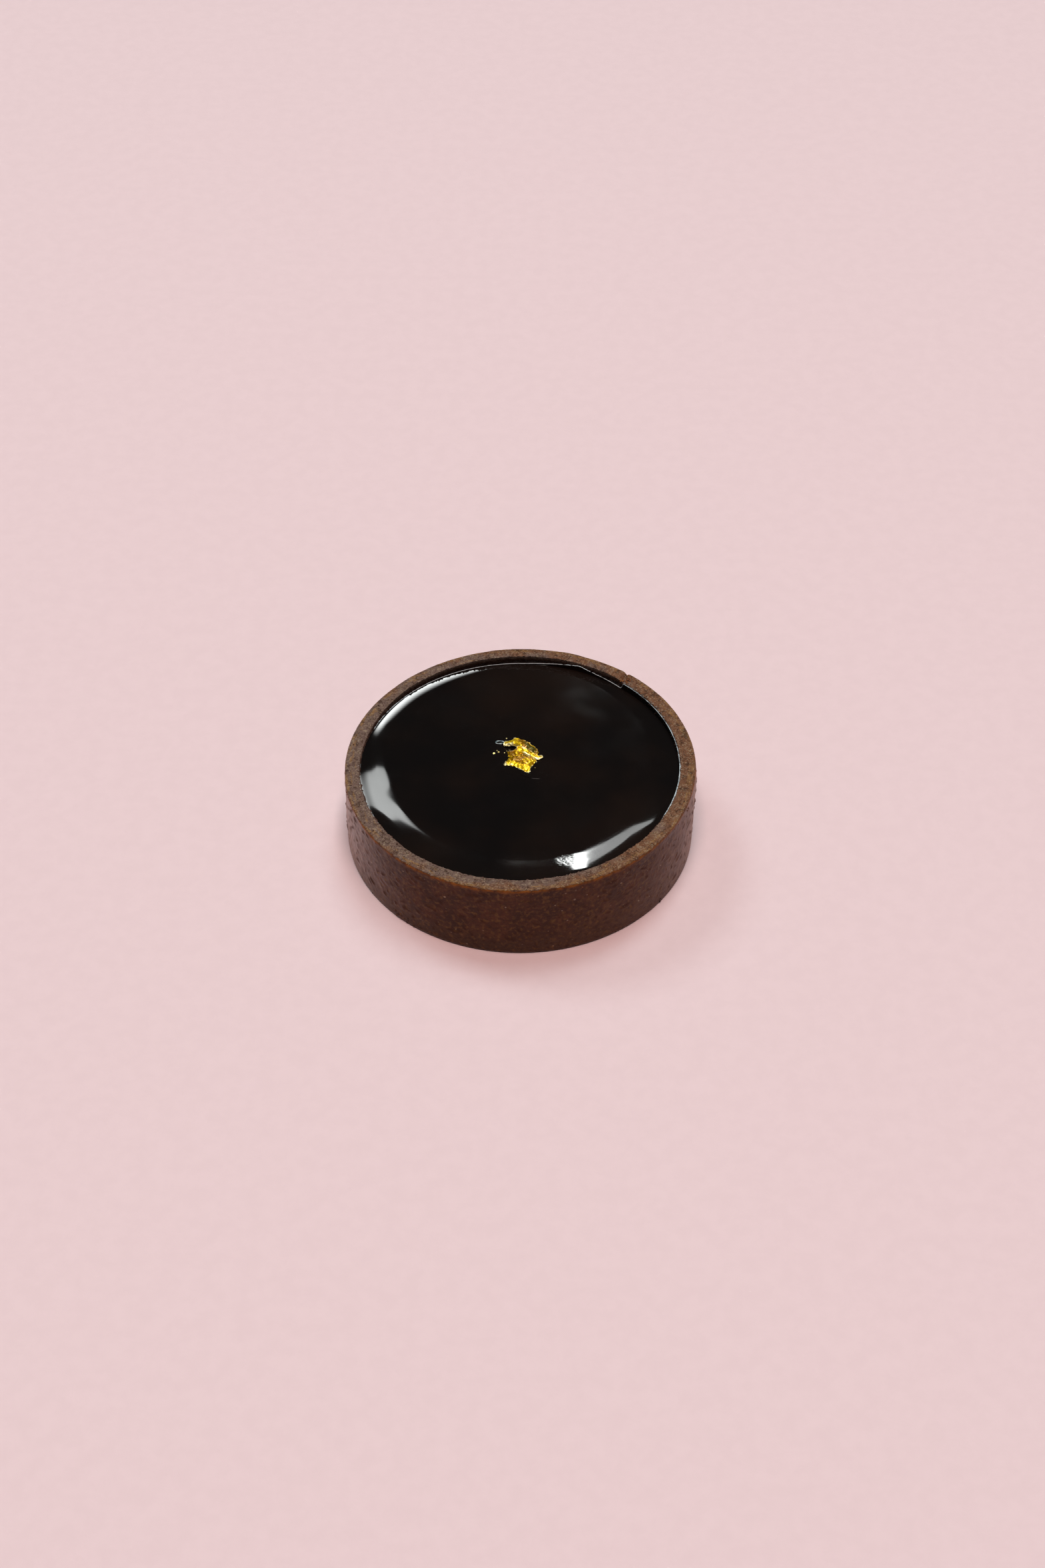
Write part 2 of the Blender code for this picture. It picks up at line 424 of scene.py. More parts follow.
class Bench:
    """Lays out shader nodes in one tree, each fed by numbers or by other nodes."""

    def __init__(self, tree: bpy.types.NodeTree) -> None:
        """Take the tree to work in."""
        self.tree = tree

    def feed(self, socket: Socket, feed: Feed) -> None:
        """Link a socket to what feeds it, or set it where that is a number or a colour."""
        if isinstance(feed, bpy.types.NodeSocket):
            self.tree.links.new(feed, socket)
        elif isinstance(feed, (int, float)):
            socket.default_value = feed
        else:
            socket.default_value = (*feed, 1.0) if socket.type == "RGBA" else tuple(feed)

    def feed_all(self, node: bpy.types.Node, feeds: dict[str | int, Feed]) -> None:
        """Feed several of a node's inputs, each given by its name or number."""
        for name, feed in feeds.items():
            self.feed(node.inputs[name], feed)

    def node(self, kind: str, feeds: dict[str | int, Feed], **settings: object) -> bpy.types.Node:
        """Add one node.

        Args:
            kind: Blender's name for the node.
            feeds: What feeds its inputs, by their name or number.
            **settings: Its properties.

        Returns:
            The node.
        """
        node = self.tree.nodes.new(kind)
        for name, value in settings.items():
            setattr(node, name, value)
        self.feed_all(node, feeds)
        return node

    def place_in_mm(self) -> Socket:
        """Return the object's own coordinates in millimetres."""
        place = self.node("ShaderNodeTexCoord", {}).outputs["Object"]
        return self.vector("MULTIPLY", place, (1.0 / MM, 1.0 / MM, 1.0 / MM))

    def vector(self, operation: str, first: Feed, second: Feed) -> Socket:
        """Return the vector that one operation on two vectors gives."""
        node = self.node("ShaderNodeVectorMath", {0: first, 1: second}, operation=operation)
        return node.outputs["Vector"]

    def measure(self, operation: str, first: Feed, second: Feed = (0.0, 0.0, 0.0)) -> Socket:
        """Return the number that one operation on two vectors gives."""
        node = self.node("ShaderNodeVectorMath", {0: first, 1: second}, operation=operation)
        return node.outputs["Value"]

    def stretched(self, vector: Feed, scales: Sequence[float]) -> Socket:
        """Return a vector with each of its axes scaled."""
        return self.vector("MULTIPLY", vector, scales)

    def reach(self, place: Feed) -> Socket:
        """Return a point's distance from the tart's upright axis."""
        return self.measure("LENGTH", self.stretched(place, (1.0, 1.0, 0.0)))

    def axes(self, vector: Feed) -> bpy.types.bpy_prop_collection:
        """Return a vector's three numbers, by the names of their axes."""
        return self.node("ShaderNodeSeparateXYZ", {"Vector": vector}).outputs

    def math(self, operation: str, first: Feed, *others: Feed) -> Socket:
        """Return what an arithmetic operation gives, taken over the numbers in turn."""
        for other in others:
            node = self.node("ShaderNodeMath", {0: first, 1: other}, operation=operation)
            first = node.outputs[0]
        return first

    def product(self, *factors: Feed) -> Socket:
        """Return the product of two or more numbers."""
        return self.math("MULTIPLY", *factors)

    def total(self, *terms: Feed) -> Socket:
        """Return the sum of two or more numbers."""
        return self.math("ADD", *terms)

    def ramp(
        self, value: Feed, start: Feed, end: Feed, low: Feed = 0.0, high: Feed = 1.0
    ) -> Socket:
        """Return an eased ramp.

        Args:
            value: The number that runs along the ramp.
            start: Where the ramp leaves its low value.
            end: Where it reaches its high value, which may lie below the start.
            low: The result before the start.
            high: The result beyond the end.

        Returns:
            The ramp's result.
        """
        feeds = {"Value": value, "From Min": start, "From Max": end, "To Min": low, "To Max": high}
        node = self.node("ShaderNodeMapRange", feeds, interpolation_type="SMOOTHSTEP")
        return node.outputs["Result"]

    def noise(
        self, place: Feed, scale: Feed, detail: float = 2.0, roughness: float = 0.5
    ) -> Socket:
        """Return smooth noise from 0 to 1, with its scale in lumps per unit."""
        feeds = {"Vector": place, "Scale": scale, "Detail": detail, "Roughness": roughness}
        return self.node("ShaderNodeTexNoise", feeds).outputs["Fac"]

    def mix(self, share: Feed, first: Feed, second: Feed) -> Socket:
        """Return the colour that lies a share of the way from the first to the second."""
        node = self.node("ShaderNodeMix", {0: share, 6: first, 7: second}, data_type="RGBA")
        return node.outputs[2]

    def attribute(self, name: str) -> Socket:
        """Return the number that the mesh stores under a name."""
        return self.node("ShaderNodeAttribute", {}, attribute_name=name).outputs["Fac"]

    def mottle(
        self,
        place: Socket,
        scale: float,
        softness: float,
        colours: tuple[Colour, Colour],
        balance: float = 0.5,
    ) -> Socket:
        """Return two colours blended in uneven patches.

        Args:
            place: The point, in millimetres.
            scale: The patches' scale, in lumps for each millimetre.
            softness: Of the patches' edges.
            colours: The two colours.
            balance: The noise value at which both colours have the same share.

        Returns:
            The colour.
        """
        feeds = {
            "Place": place,
            "Scale": scale,
            "Balance": balance,
            "Softness": softness,
            "First": colours[0],
            "Second": colours[1],
        }
        return self.effect(Effect.MOTTLE, feeds).outputs["Color"]

    def raise_grain(
        self, shader: bpy.types.Node, place: Socket, scale: float, crumble: float, depth: float
    ) -> None:
        """Roughen a shader's surface with fine grains.

        Args:
            shader: The shader.
            place: The point, in millimetres.
            scale: The grains' scale, in grains for each millimetre.
            crumble: How far single grains stand out.
            depth: The relief's depth.
        """
        grain = self.effect(Effect.GRAIN, {"Place": place, "Scale": scale, "Crumble": crumble})
        self.raise_relief(shader, grain.outputs["Height"], depth)

    def raise_relief(self, shader: bpy.types.Node, height: Socket, depth: float) -> None:
        """Give a shader's surface a fine relief of a depth, where height runs from 0 to 1."""
        bump = self.node("ShaderNodeBump", {"Height": height, "Distance": depth})
        self.feed(shader.inputs["Normal"], bump.outputs["Normal"])

    def effect(self, effect: "Effect", feeds: dict[str, Feed]) -> bpy.types.Node:
        """Place a shared effect, which is built the first time it is asked for."""
        return self.node("ShaderNodeGroup", feeds, node_tree=effect.group())


class Effect(Enum):
    """A shader effect that several materials share, each with its own values."""

    MOTTLE = "mottle"
    SPECKS = "specks"
    GRAIN = "grain"

    def group(self) -> bpy.types.NodeTree:
        """Return the effect's node group, and build it if it isn't there yet."""
        return bpy.data.node_groups.get(self.value) or EFFECT_BUILDERS[self]()


def start_group(
    effect: Effect, inputs: dict[str, str], outputs: dict[str, str]
) -> tuple[Bench, dict[str, Socket], bpy.types.Node]:
    """Start a shared effect's node group.

    Args:
        effect: The effect, which names the group.
        inputs: The kind of each input, by name.
        outputs: The kind of each output, by name.

    Returns:
        The bench to work on, the group's inputs by name, and its output node.
    """
    tree = bpy.data.node_groups.new(effect.value, "ShaderNodeTree")
    for way, sockets in (("INPUT", inputs), ("OUTPUT", outputs)):
        for name, kind in sockets.items():
            tree.interface.new_socket(name=name, in_out=way, socket_type="NodeSocket" + kind)
    bench = Bench(tree)
    entry = bench.node("NodeGroupInput", {})
    return bench, {name: entry.outputs[name] for name in inputs}, bench.node("NodeGroupOutput", {})


def build_mottle() -> bpy.types.NodeTree:
    """Build the effect that blends two colours in uneven patches.

    Returns:
        The node group.
    """
    inputs = {
        "Place": "Vector",
        "Scale": "Float",
        "Balance": "Float",
        "Softness": "Float",
        "First": "Color",
        "Second": "Color",
    }
    bench, given, out = start_group(Effect.MOTTLE, inputs, {"Color": "Color"})
    noise = bench.noise(given["Place"], given["Scale"], detail=3.0, roughness=0.6)
    start = bench.math("SUBTRACT", given["Balance"], given["Softness"])
    end = bench.total(given["Balance"], given["Softness"])
    share = bench.ramp(noise, start, end)
    bench.feed(out.inputs["Color"], bench.mix(share, given["First"], given["Second"]))
    return bench.tree


def build_specks() -> bpy.types.NodeTree:
    """Build the effect that scatters round specks of uneven size.

    Returns:
        The node group.
    """
    inputs = {"Place": "Vector", "Scale": "Float", "Width": "Float", "Share": "Float"}
    bench, given, out = start_group(Effect.SPECKS, inputs, {"Mask": "Float"})
    cells = bench.node("ShaderNodeTexVoronoi", {"Vector": given["Place"], "Scale": given["Scale"]})
    lots = bench.node("ShaderNodeSeparateColor", {"Color": cells.outputs["Color"]})
    width = bench.product(given["Width"], bench.ramp(lots.outputs["Green"], 0.0, 1.0, 0.45, 1.3))
    edge = bench.product(width, 0.55)
    spot = bench.ramp(cells.outputs["Distance"], width, edge)
    kept = bench.math("LESS_THAN", lots.outputs["Red"], given["Share"])
    bench.feed(out.inputs["Mask"], bench.product(spot, kept))
    return bench.tree


def build_grain() -> bpy.types.NodeTree:
    """Build the effect that gives a surface fine grains of two sizes.

    Returns:
        The node group.
    """
    inputs = {"Place": "Vector", "Scale": "Float", "Crumble": "Float"}
    bench, given, out = start_group(Effect.GRAIN, inputs, {"Height": "Float", "Tone": "Float"})
    soft = bench.noise(given["Place"], given["Scale"], detail=4.0, roughness=0.65)
    cells = bench.node(
        "ShaderNodeTexVoronoi",
        {"Vector": given["Place"], "Scale": bench.product(given["Scale"], 1.4)},
    )
    round_tops = bench.ramp(cells.outputs["Distance"], 0.9, 0.0)
    uneven = bench.product(bench.math("SUBTRACT", round_tops, 0.5), given["Crumble"])
    bench.feed(out.inputs["Height"], bench.total(soft, uneven))
    lots = bench.node("ShaderNodeSeparateColor", {"Color": cells.outputs["Color"]})
    bench.feed(out.inputs["Tone"], lots.outputs["Red"])
    return bench.tree


EFFECT_BUILDERS = {
    Effect.MOTTLE: build_mottle,
    Effect.SPECKS: build_specks,
    Effect.GRAIN: build_grain,
}


def start_material(
    name: str, values: dict[str, Feed]
) -> tuple[bpy.types.Material, Bench, bpy.types.Node]:
    """Start a material.

    Args:
        name: The material's name.
        values: What its shader's plain inputs are set to, by name.

    Returns:
        The material, a bench on its nodes, and its Principled shader.
    """
    material = bpy.data.materials.new(name)
    material.use_nodes = True
    bench = Bench(material.node_tree)
    shader = material.node_tree.nodes["Principled BSDF"]
    bench.feed_all(shader, values)
    return material, bench, shader


# --------------------------------------------------------------------------------------
# Finishes
# --------------------------------------------------------------------------------------


@dataclass(frozen=True)
class CrustFinish:
    """Dark cocoa pastry: satin and mottled on the side, grainy where the rim is filed flat.

    Attributes:
        sizes: The tart's driving sizes.
        side_dark: The darker of the side's two browns.
        side_warm: The warmer one.
        fleck: The orange-brown of the side's fine flecks.
        foot: The greyer brown near the base.
        bounce_lit: Painted light: a paler brown low on the side to the right of the front, where
            the floor's bounce lights it.
        edge: The burnt orange line below the rim.
        rim_grey: The filed rim where it is greyest.
        rim_warm: The filed rim where it is warmest.
        rim_gold: Its golden-brown patches.
        grain_pale: The rim's tan grains.
        grain_dark: Its dark ones.
        speck: The pale specks in the side.
        soaked_shaded: The inner wall, dark with glaze and with painted shade.
        relief: The depth of the grain.
    """

    sizes: TartSizes
    side_dark: Colour = (0.043, 0.0125, 0.0065)
    side_warm: Colour = (0.084, 0.025, 0.0105)
    fleck: Colour = (0.150, 0.068, 0.020)
    foot: Colour = (0.056, 0.028, 0.015)
    bounce_lit: Colour = (0.105, 0.046, 0.026)
    # Painted light: the paler brown of the floor's bounce on the lower right of the side.
    edge: Colour = (0.240, 0.075, 0.012)
    rim_grey: Colour = (0.160, 0.100, 0.080)
    rim_warm: Colour = (0.175, 0.078, 0.042)
    rim_gold: Colour = (0.280, 0.145, 0.056)
    grain_pale: Colour = (0.360, 0.260, 0.170)
    grain_dark: Colour = (0.050, 0.024, 0.015)
    speck: Colour = (0.420, 0.300, 0.210)
    # Partly the glaze film's own near-black, partly painted shade on the inner wall.
    soaked_shaded: Colour = (0.016, 0.007, 0.004)
    relief: float = 0.16 * MM

    def make(self) -> bpy.types.Material:
        """Return the pastry's material."""
        values = {
            "IOR": 1.22,
            "Sheen Weight": 0.20,
            "Sheen Roughness": 0.35,
            "Sheen Tint": (1.0, 0.50, 0.38),
            "Coat Roughness": 0.36,
            "Coat IOR": 1.5,
        }
        material, bench, shader = start_material("dark_cocoa_crust", values)
        place = bench.place_in_mm()
        past_edge = self.past_edge(bench, place)
        on_rim = bench.ramp(past_edge, 0.25, -0.15)
        marks = bench.ramp(bench.attribute("ring_mark"), 0.02, 0.5)
        line = bench.product(
            bench.ramp(past_edge, -0.25, 0.05),
            bench.ramp(past_edge, 1.30, 0.25),
            bench.ramp(bench.noise(place, 0.5, detail=3.0), 0.32, 0.60, 0.15, 1.0),
        )
        side = bench.mix(line, self.side_colour(bench, place, marks), self.edge)
        rim, rim_height = self.rim_look(bench, place)
        # Painted shade and glaze: the inner wall is darkened and made glossy.
        wet = self.soaked_shade_share(bench, place)
        matte = bench.ramp(on_rim, 0.0, 1.0, bench.ramp(marks, 0.0, 1.0, 0.50, 0.70), 0.9)
        film = self.film(bench, place, marks)
        grain = bench.effect(Effect.GRAIN, {"Place": place, "Scale": 1.6, "Crumble": 0.25})
        side_height = bench.product(grain.outputs["Height"], 0.5)
        feeds = {
            "Base Color": bench.mix(wet, bench.mix(on_rim, side, rim), self.soaked_shaded),
            "Roughness": bench.ramp(wet, 0.0, 1.0, matte, 0.4),
            "Coat Weight": bench.ramp(on_rim, 0.0, 1.0, film, 0.0),
        }
        bench.feed_all(shader, feeds)
        height = bench.ramp(on_rim, 0.0, 1.0, side_height, rim_height)
        bench.raise_relief(shader, height, self.relief)
        return material

    def soaked_shade_share(self, bench: Bench, place: Socket) -> Socket:
        """Return how far the inner wall is darkened by glaze and painted shade, which reaches
        farthest out at the back.

        Args:
            bench: The bench to work on.
            place: The point, in millimetres.

        Returns:
            The share, from 0 to 1.
        """
        inner = self.sizes.inner / MM
        axes = bench.axes(place)
        # Painted shade: at the back, where the inner wall lies in shade, the darkening reaches
        # farther out.
        behind = bench.product(
            bench.ramp(axes["Y"], 10.0, 28.0), bench.ramp(axes["X"], 27.0, 20.0), 0.45
        )
        reach = bench.math("SUBTRACT", bench.reach(place), behind)
        return bench.ramp(reach, inner + 0.25, inner + 0.02)

    def film(self, bench: Bench, place: Socket, marks: Socket) -> Socket:
        """Return the weight of the side's satin film, which is strongest at its outline.

        Args:
            bench: The bench to work on.
            place: The point, in millimetres.
            marks: How strongly a ring mark shows there.

        Returns:
            The weight, from 0 to 1.
        """
        facing = bench.node("ShaderNodeLayerWeight", {"Blend": 0.5}).outputs["Facing"]
        return bench.product(
            bench.ramp(bench.axes(place)["X"], 24.0, -32.0, 0.44, 0.90),
            bench.ramp(facing, 0.40, 0.85),
            bench.ramp(marks, 0.0, 1.0, 1.0, 0.4),
            bench.ramp(bench.noise(place, 0.7, detail=3.0), 0.3, 0.7, 0.55, 1.0),
        )

    def past_edge(self, bench: Bench, place: Socket) -> Socket:
        """Return how far a point lies down the side from the rim's edge.

        Args:
            bench: The bench to work on.
            place: The point, in millimetres.

        Returns:
            Millimetres down the side, or less than 0 on the rim.
        """
        size = self.sizes
        plane = (size.LEAN_X / size.radius, size.LEAN_Y / size.radius, -1.0)
        depth = bench.total(bench.measure("DOT_PRODUCT", place, plane), size.height / MM)
        inset = bench.math("SUBTRACT", size.radius / MM, bench.reach(place))
        ragged = bench.noise(place, 0.9, detail=4.0, roughness=0.6)
        ragged = bench.product(bench.math("SUBTRACT", ragged, 0.5), 1.4)
        return bench.total(bench.math("SUBTRACT", depth, inset), ragged)

    def side_colour(self, bench: Bench, place: Socket, marks: Socket) -> Socket:
        """Return the side's colour.

        Args:
            bench: The bench to work on.
            place: The point, in millimetres.
            marks: How strongly a ring mark shows there.

        Returns:
            The colour.
        """
        broad = bench.mottle(place, 0.22, 0.16, (self.side_dark, self.side_warm))
        axes = bench.axes(place)
        uneven = bench.product(bench.noise(place, 0.3, detail=3.0), 7.0)
        high = bench.total(axes["Z"], uneven)
        colour = bench.mix(bench.ramp(high, 11.5, 5.0, 0.0, 0.85), broad, self.foot)
        # Painted light: lighten the side low down and towards the right, as if by the floor's
        # bounce.
        low = bench.ramp(high, 22.0, 3.0, 0.10, 0.60)
        bounce_lit = bench.product(bench.ramp(axes["X"], -12.0, 26.0), low)
        colour = bench.mix(bounce_lit, colour, self.bounce_lit)
        flecks = bench.noise(place, 1.15, 2.5, 0.5)
        colour = bench.mix(bench.ramp(flecks, 0.46, 0.74, 0.0, 0.85), colour, self.fleck)
        dim = bench.noise(place, 1.1, detail=3.0)
        colour = bench.mix(bench.ramp(dim, 0.52, 0.32, 0.0, 0.75), colour, self.side_dark)
        colour = bench.mix(bench.product(marks, 0.35), colour, self.side_dark)
        for scale, width, share, strength in ((0.42, 0.13, 0.25, 0.45), (1.1, 0.16, 0.07, 0.35)):
            specks = bench.effect(
                Effect.SPECKS, {"Place": place, "Scale": scale, "Width": width, "Share": share}
            )
            mask = bench.product(specks.outputs["Mask"], strength)
            colour = bench.mix(mask, colour, self.speck)
        return colour

    def rim_look(self, bench: Bench, place: Socket) -> tuple[Socket, Socket]:
        """Return the filed rim's colour and its relief.

        Args:
            bench: The bench to work on.
            place: The point, in millimetres.

        Returns:
            The colour, and the height from 0 to 1.
        """
        size = self.sizes
        reach = bench.reach(place)
        outwards = bench.ramp(reach, size.inner / MM, size.radius / MM, -0.10, 0.12)
        sideways = bench.product(bench.axes(place)["X"], 0.006)
        warmth = bench.total(bench.noise(place, 0.22, detail=3.0), sideways, outwards)
        base = bench.mix(bench.ramp(warmth, 0.38, 0.66), self.rim_grey, self.rim_warm)
        slow = bench.stretched(place, (0.3, 0.3, 0.0))
        rings = bench.node("ShaderNodeCombineXYZ", {"Z": bench.product(reach, 1.5)})
        filed = bench.vector("ADD", slow, rings.outputs["Vector"])
        streaks = bench.noise(filed, 1.0, detail=3.0, roughness=0.6)
        gold = bench.total(streaks, bench.product(outwards, 0.8))
        colour = bench.mix(bench.ramp(gold, 0.54, 0.70, 0.0, 0.80), base, self.rim_gold)
        patches = bench.noise(place, 0.75, detail=4.0, roughness=0.65)
        colour = bench.mix(bench.ramp(patches, 0.50, 0.34, 0.0, 0.80), colour, self.grain_dark)
        colour = bench.mix(bench.ramp(patches, 0.57, 0.72, 0.0, 0.55), colour, self.grain_pale)
        grain = bench.effect(Effect.GRAIN, {"Place": place, "Scale": 2.6, "Crumble": 0.6})
        tone = grain.outputs["Tone"]
        colour = bench.mix(bench.ramp(tone, 0.76, 0.97, 0.0, 0.45), colour, self.grain_pale)
        colour = bench.mix(bench.ramp(tone, 0.28, 0.03, 0.0, 0.60), colour, self.grain_dark)
        height = bench.total(grain.outputs["Height"], bench.product(patches, 0.8))
        return colour, height


@dataclass(frozen=True)
class GlazeFinish:
    """Near-black mirror glaze, wrinkled in one spot near the wall; its film's lip has a painted
    highlight.

    Attributes:
        sizes: The tart's driving sizes.
        deep: The glaze's colour.
        warm: Its browner patches.
        lip: Painted highlight: the pale bluish white on the lip of its thin film, drying on the
            wall.
        wrinkled: The middle of the wrinkled spot, in millimetres.
        wrinkle_reach: How far the wrinkles run from there, in millimetres.
        wrinkle_depth: Of the wrinkles.
    """

    sizes: TartSizes
    deep: Colour = (0.0050, 0.0040, 0.0038)
    warm: Colour = (0.0110, 0.0062, 0.0046)
    # Painted highlight: the pale colour of the wall film's lip.
    lip: Colour = (0.86, 0.95, 0.98)
    wrinkled: tuple[float, float] = (10.0, -28.7)
    wrinkle_reach: float = 3.1
    wrinkle_depth: float = 0.0075 * MM

    def make(self) -> bpy.types.Material:
        """Return the glaze's material."""
        material, bench, shader = start_material("mirror_glaze", {"IOR": 1.5})
        place = bench.place_in_mm()
        tint = bench.mottle(place, 0.035, 0.2, (self.deep, self.warm), balance=0.55)
        # Painted highlight: the film's lip is blended towards pale, broken up by noise.
        lip = bench.attribute("lip")
        broken = bench.ramp(bench.noise(place, 1.6, detail=3.0), 0.36, 0.58, 0.25, 1.0)
        feeds = {
            "Base Color": bench.mix(bench.product(lip, broken), tint, self.lip),
            "Roughness": bench.ramp(bench.noise(place, 0.12), 0.3, 0.8, 0.025, 0.06),
        }
        bench.feed_all(shader, feeds)
        away = bench.measure("DISTANCE", place, (*self.wrinkled, self.sizes.level / MM))
        near = bench.ramp(away, self.wrinkle_reach, 0.25 * self.wrinkle_reach)
        streaks = bench.noise(bench.stretched(place, (0.55, 1.6, 1.0)), 1.7, detail=3.0)
        bench.raise_relief(shader, bench.product(streaks, near), self.wrinkle_depth)
        return material


@dataclass(frozen=True)
class GoldFinish:
    """Crumpled gold leaf, wet with glaze: bright yellow, with painted shade in amber in its folds
    and olive where thin, and painted pale highlights.

    Attributes:
        bright: The leaf where it is bright yellow.
        pale: Painted highlight: the pale cream along its torn edges and its brightest parts.
        amber: Painted shade: the deep amber where it lies in shade in its folds.
        olive: Painted shade: the dark olive where the thin leaf faces away from the light and the
            dark glaze shows through.
    """

    bright: Colour = (0.88, 0.55, 0.006)
    pale: Colour = (1.0, 0.90, 0.45)
    amber: Colour = (0.34, 0.145, 0.0005)
    olive: Colour = (0.13, 0.105, 0.012)

    def make(self) -> bpy.types.Material:
        """Return the leaf's material."""
        values = {"Metallic": 0.55, "IOR": 1.3, "Coat Weight": 0.3, "Coat Roughness": 0.08}
        material, bench, shader = start_material("crumpled_gold_leaf", values)
        place = bench.place_in_mm()
        # Painted light: the leaf's tone runs from shaded olive and amber to bright yellow and pale
        # painted highlight.
        tone = bench.attribute("leaf_light_tone")
        uneven = bench.math("SUBTRACT", bench.noise(place, 1.6, detail=3.0), 0.5)
        # Painted highlight: the torn edges are lifted towards pale.
        edge = bench.ramp(bench.attribute("leaf_edge"), 0.80, 1.0, 0.0, 0.7)
        tone = bench.total(tone, bench.product(uneven, 0.9), edge)
        colour = bench.mix(bench.ramp(tone, 0.0, 0.5), self.olive, self.amber)
        colour = bench.mix(bench.ramp(tone, 0.5, 0.85), colour, self.bright)
        colour = bench.mix(bench.ramp(tone, 1.15, 1.5), colour, self.pale)
        haze = bench.ramp(bench.noise(place, 2.0), 0.3, 0.7, 0.15, 0.30)
        bench.feed_all(shader, {"Base Color": colour, "Roughness": haze})
        bench.raise_grain(shader, place, 3.0, 0.5, 0.02 * MM)
        return material


@dataclass(frozen=True)
class CrumbFinish:
    """Small loose bits of one kind.

    Attributes:
        name: The material's name.
        first: One of the bits' two colours.
        second: The other.
        roughness: How matte they are.
    """

    name: str
    first: Colour
    second: Colour
    roughness: float = 0.7

    def make(self) -> bpy.types.Material:
        """Return the bits' material."""
        material, bench, shader = start_material(self.name, {"Roughness": self.roughness})
        place = bench.place_in_mm()
        tone = bench.mottle(place, 1.1, 0.08, (self.first, self.second))
        bench.feed(shader.inputs["Base Color"], tone)
        bench.raise_grain(shader, place, 4.0, 0.6, 0.05 * MM)
        return material


@dataclass(frozen=True)
class PaperFinish:
    """The pale matte paper that the tart stands on.

    Attributes:
        pale: The paper's colour.
        shade: Its slightly darker patches.
    """

    pale: Colour = (0.806, 0.602, 0.610)
    shade: Colour = (0.786, 0.585, 0.593)

    def make(self) -> bpy.types.Material:
        """Return the paper's material."""
        values = {"Roughness": 0.9, "Specular IOR Level": 0.2}
        material, bench, shader = start_material("pale_paper", values)
        place = bench.place_in_mm()
        tone = bench.mottle(place, 0.25, 0.2, (self.pale, self.shade))
        bench.feed(shader.inputs["Base Color"], tone)
        bench.raise_grain(shader, place, 1.5, 0.2, 0.02 * MM)
        return material


# --------------------------------------------------------------------------------------
# Pastry case
# --------------------------------------------------------------------------------------


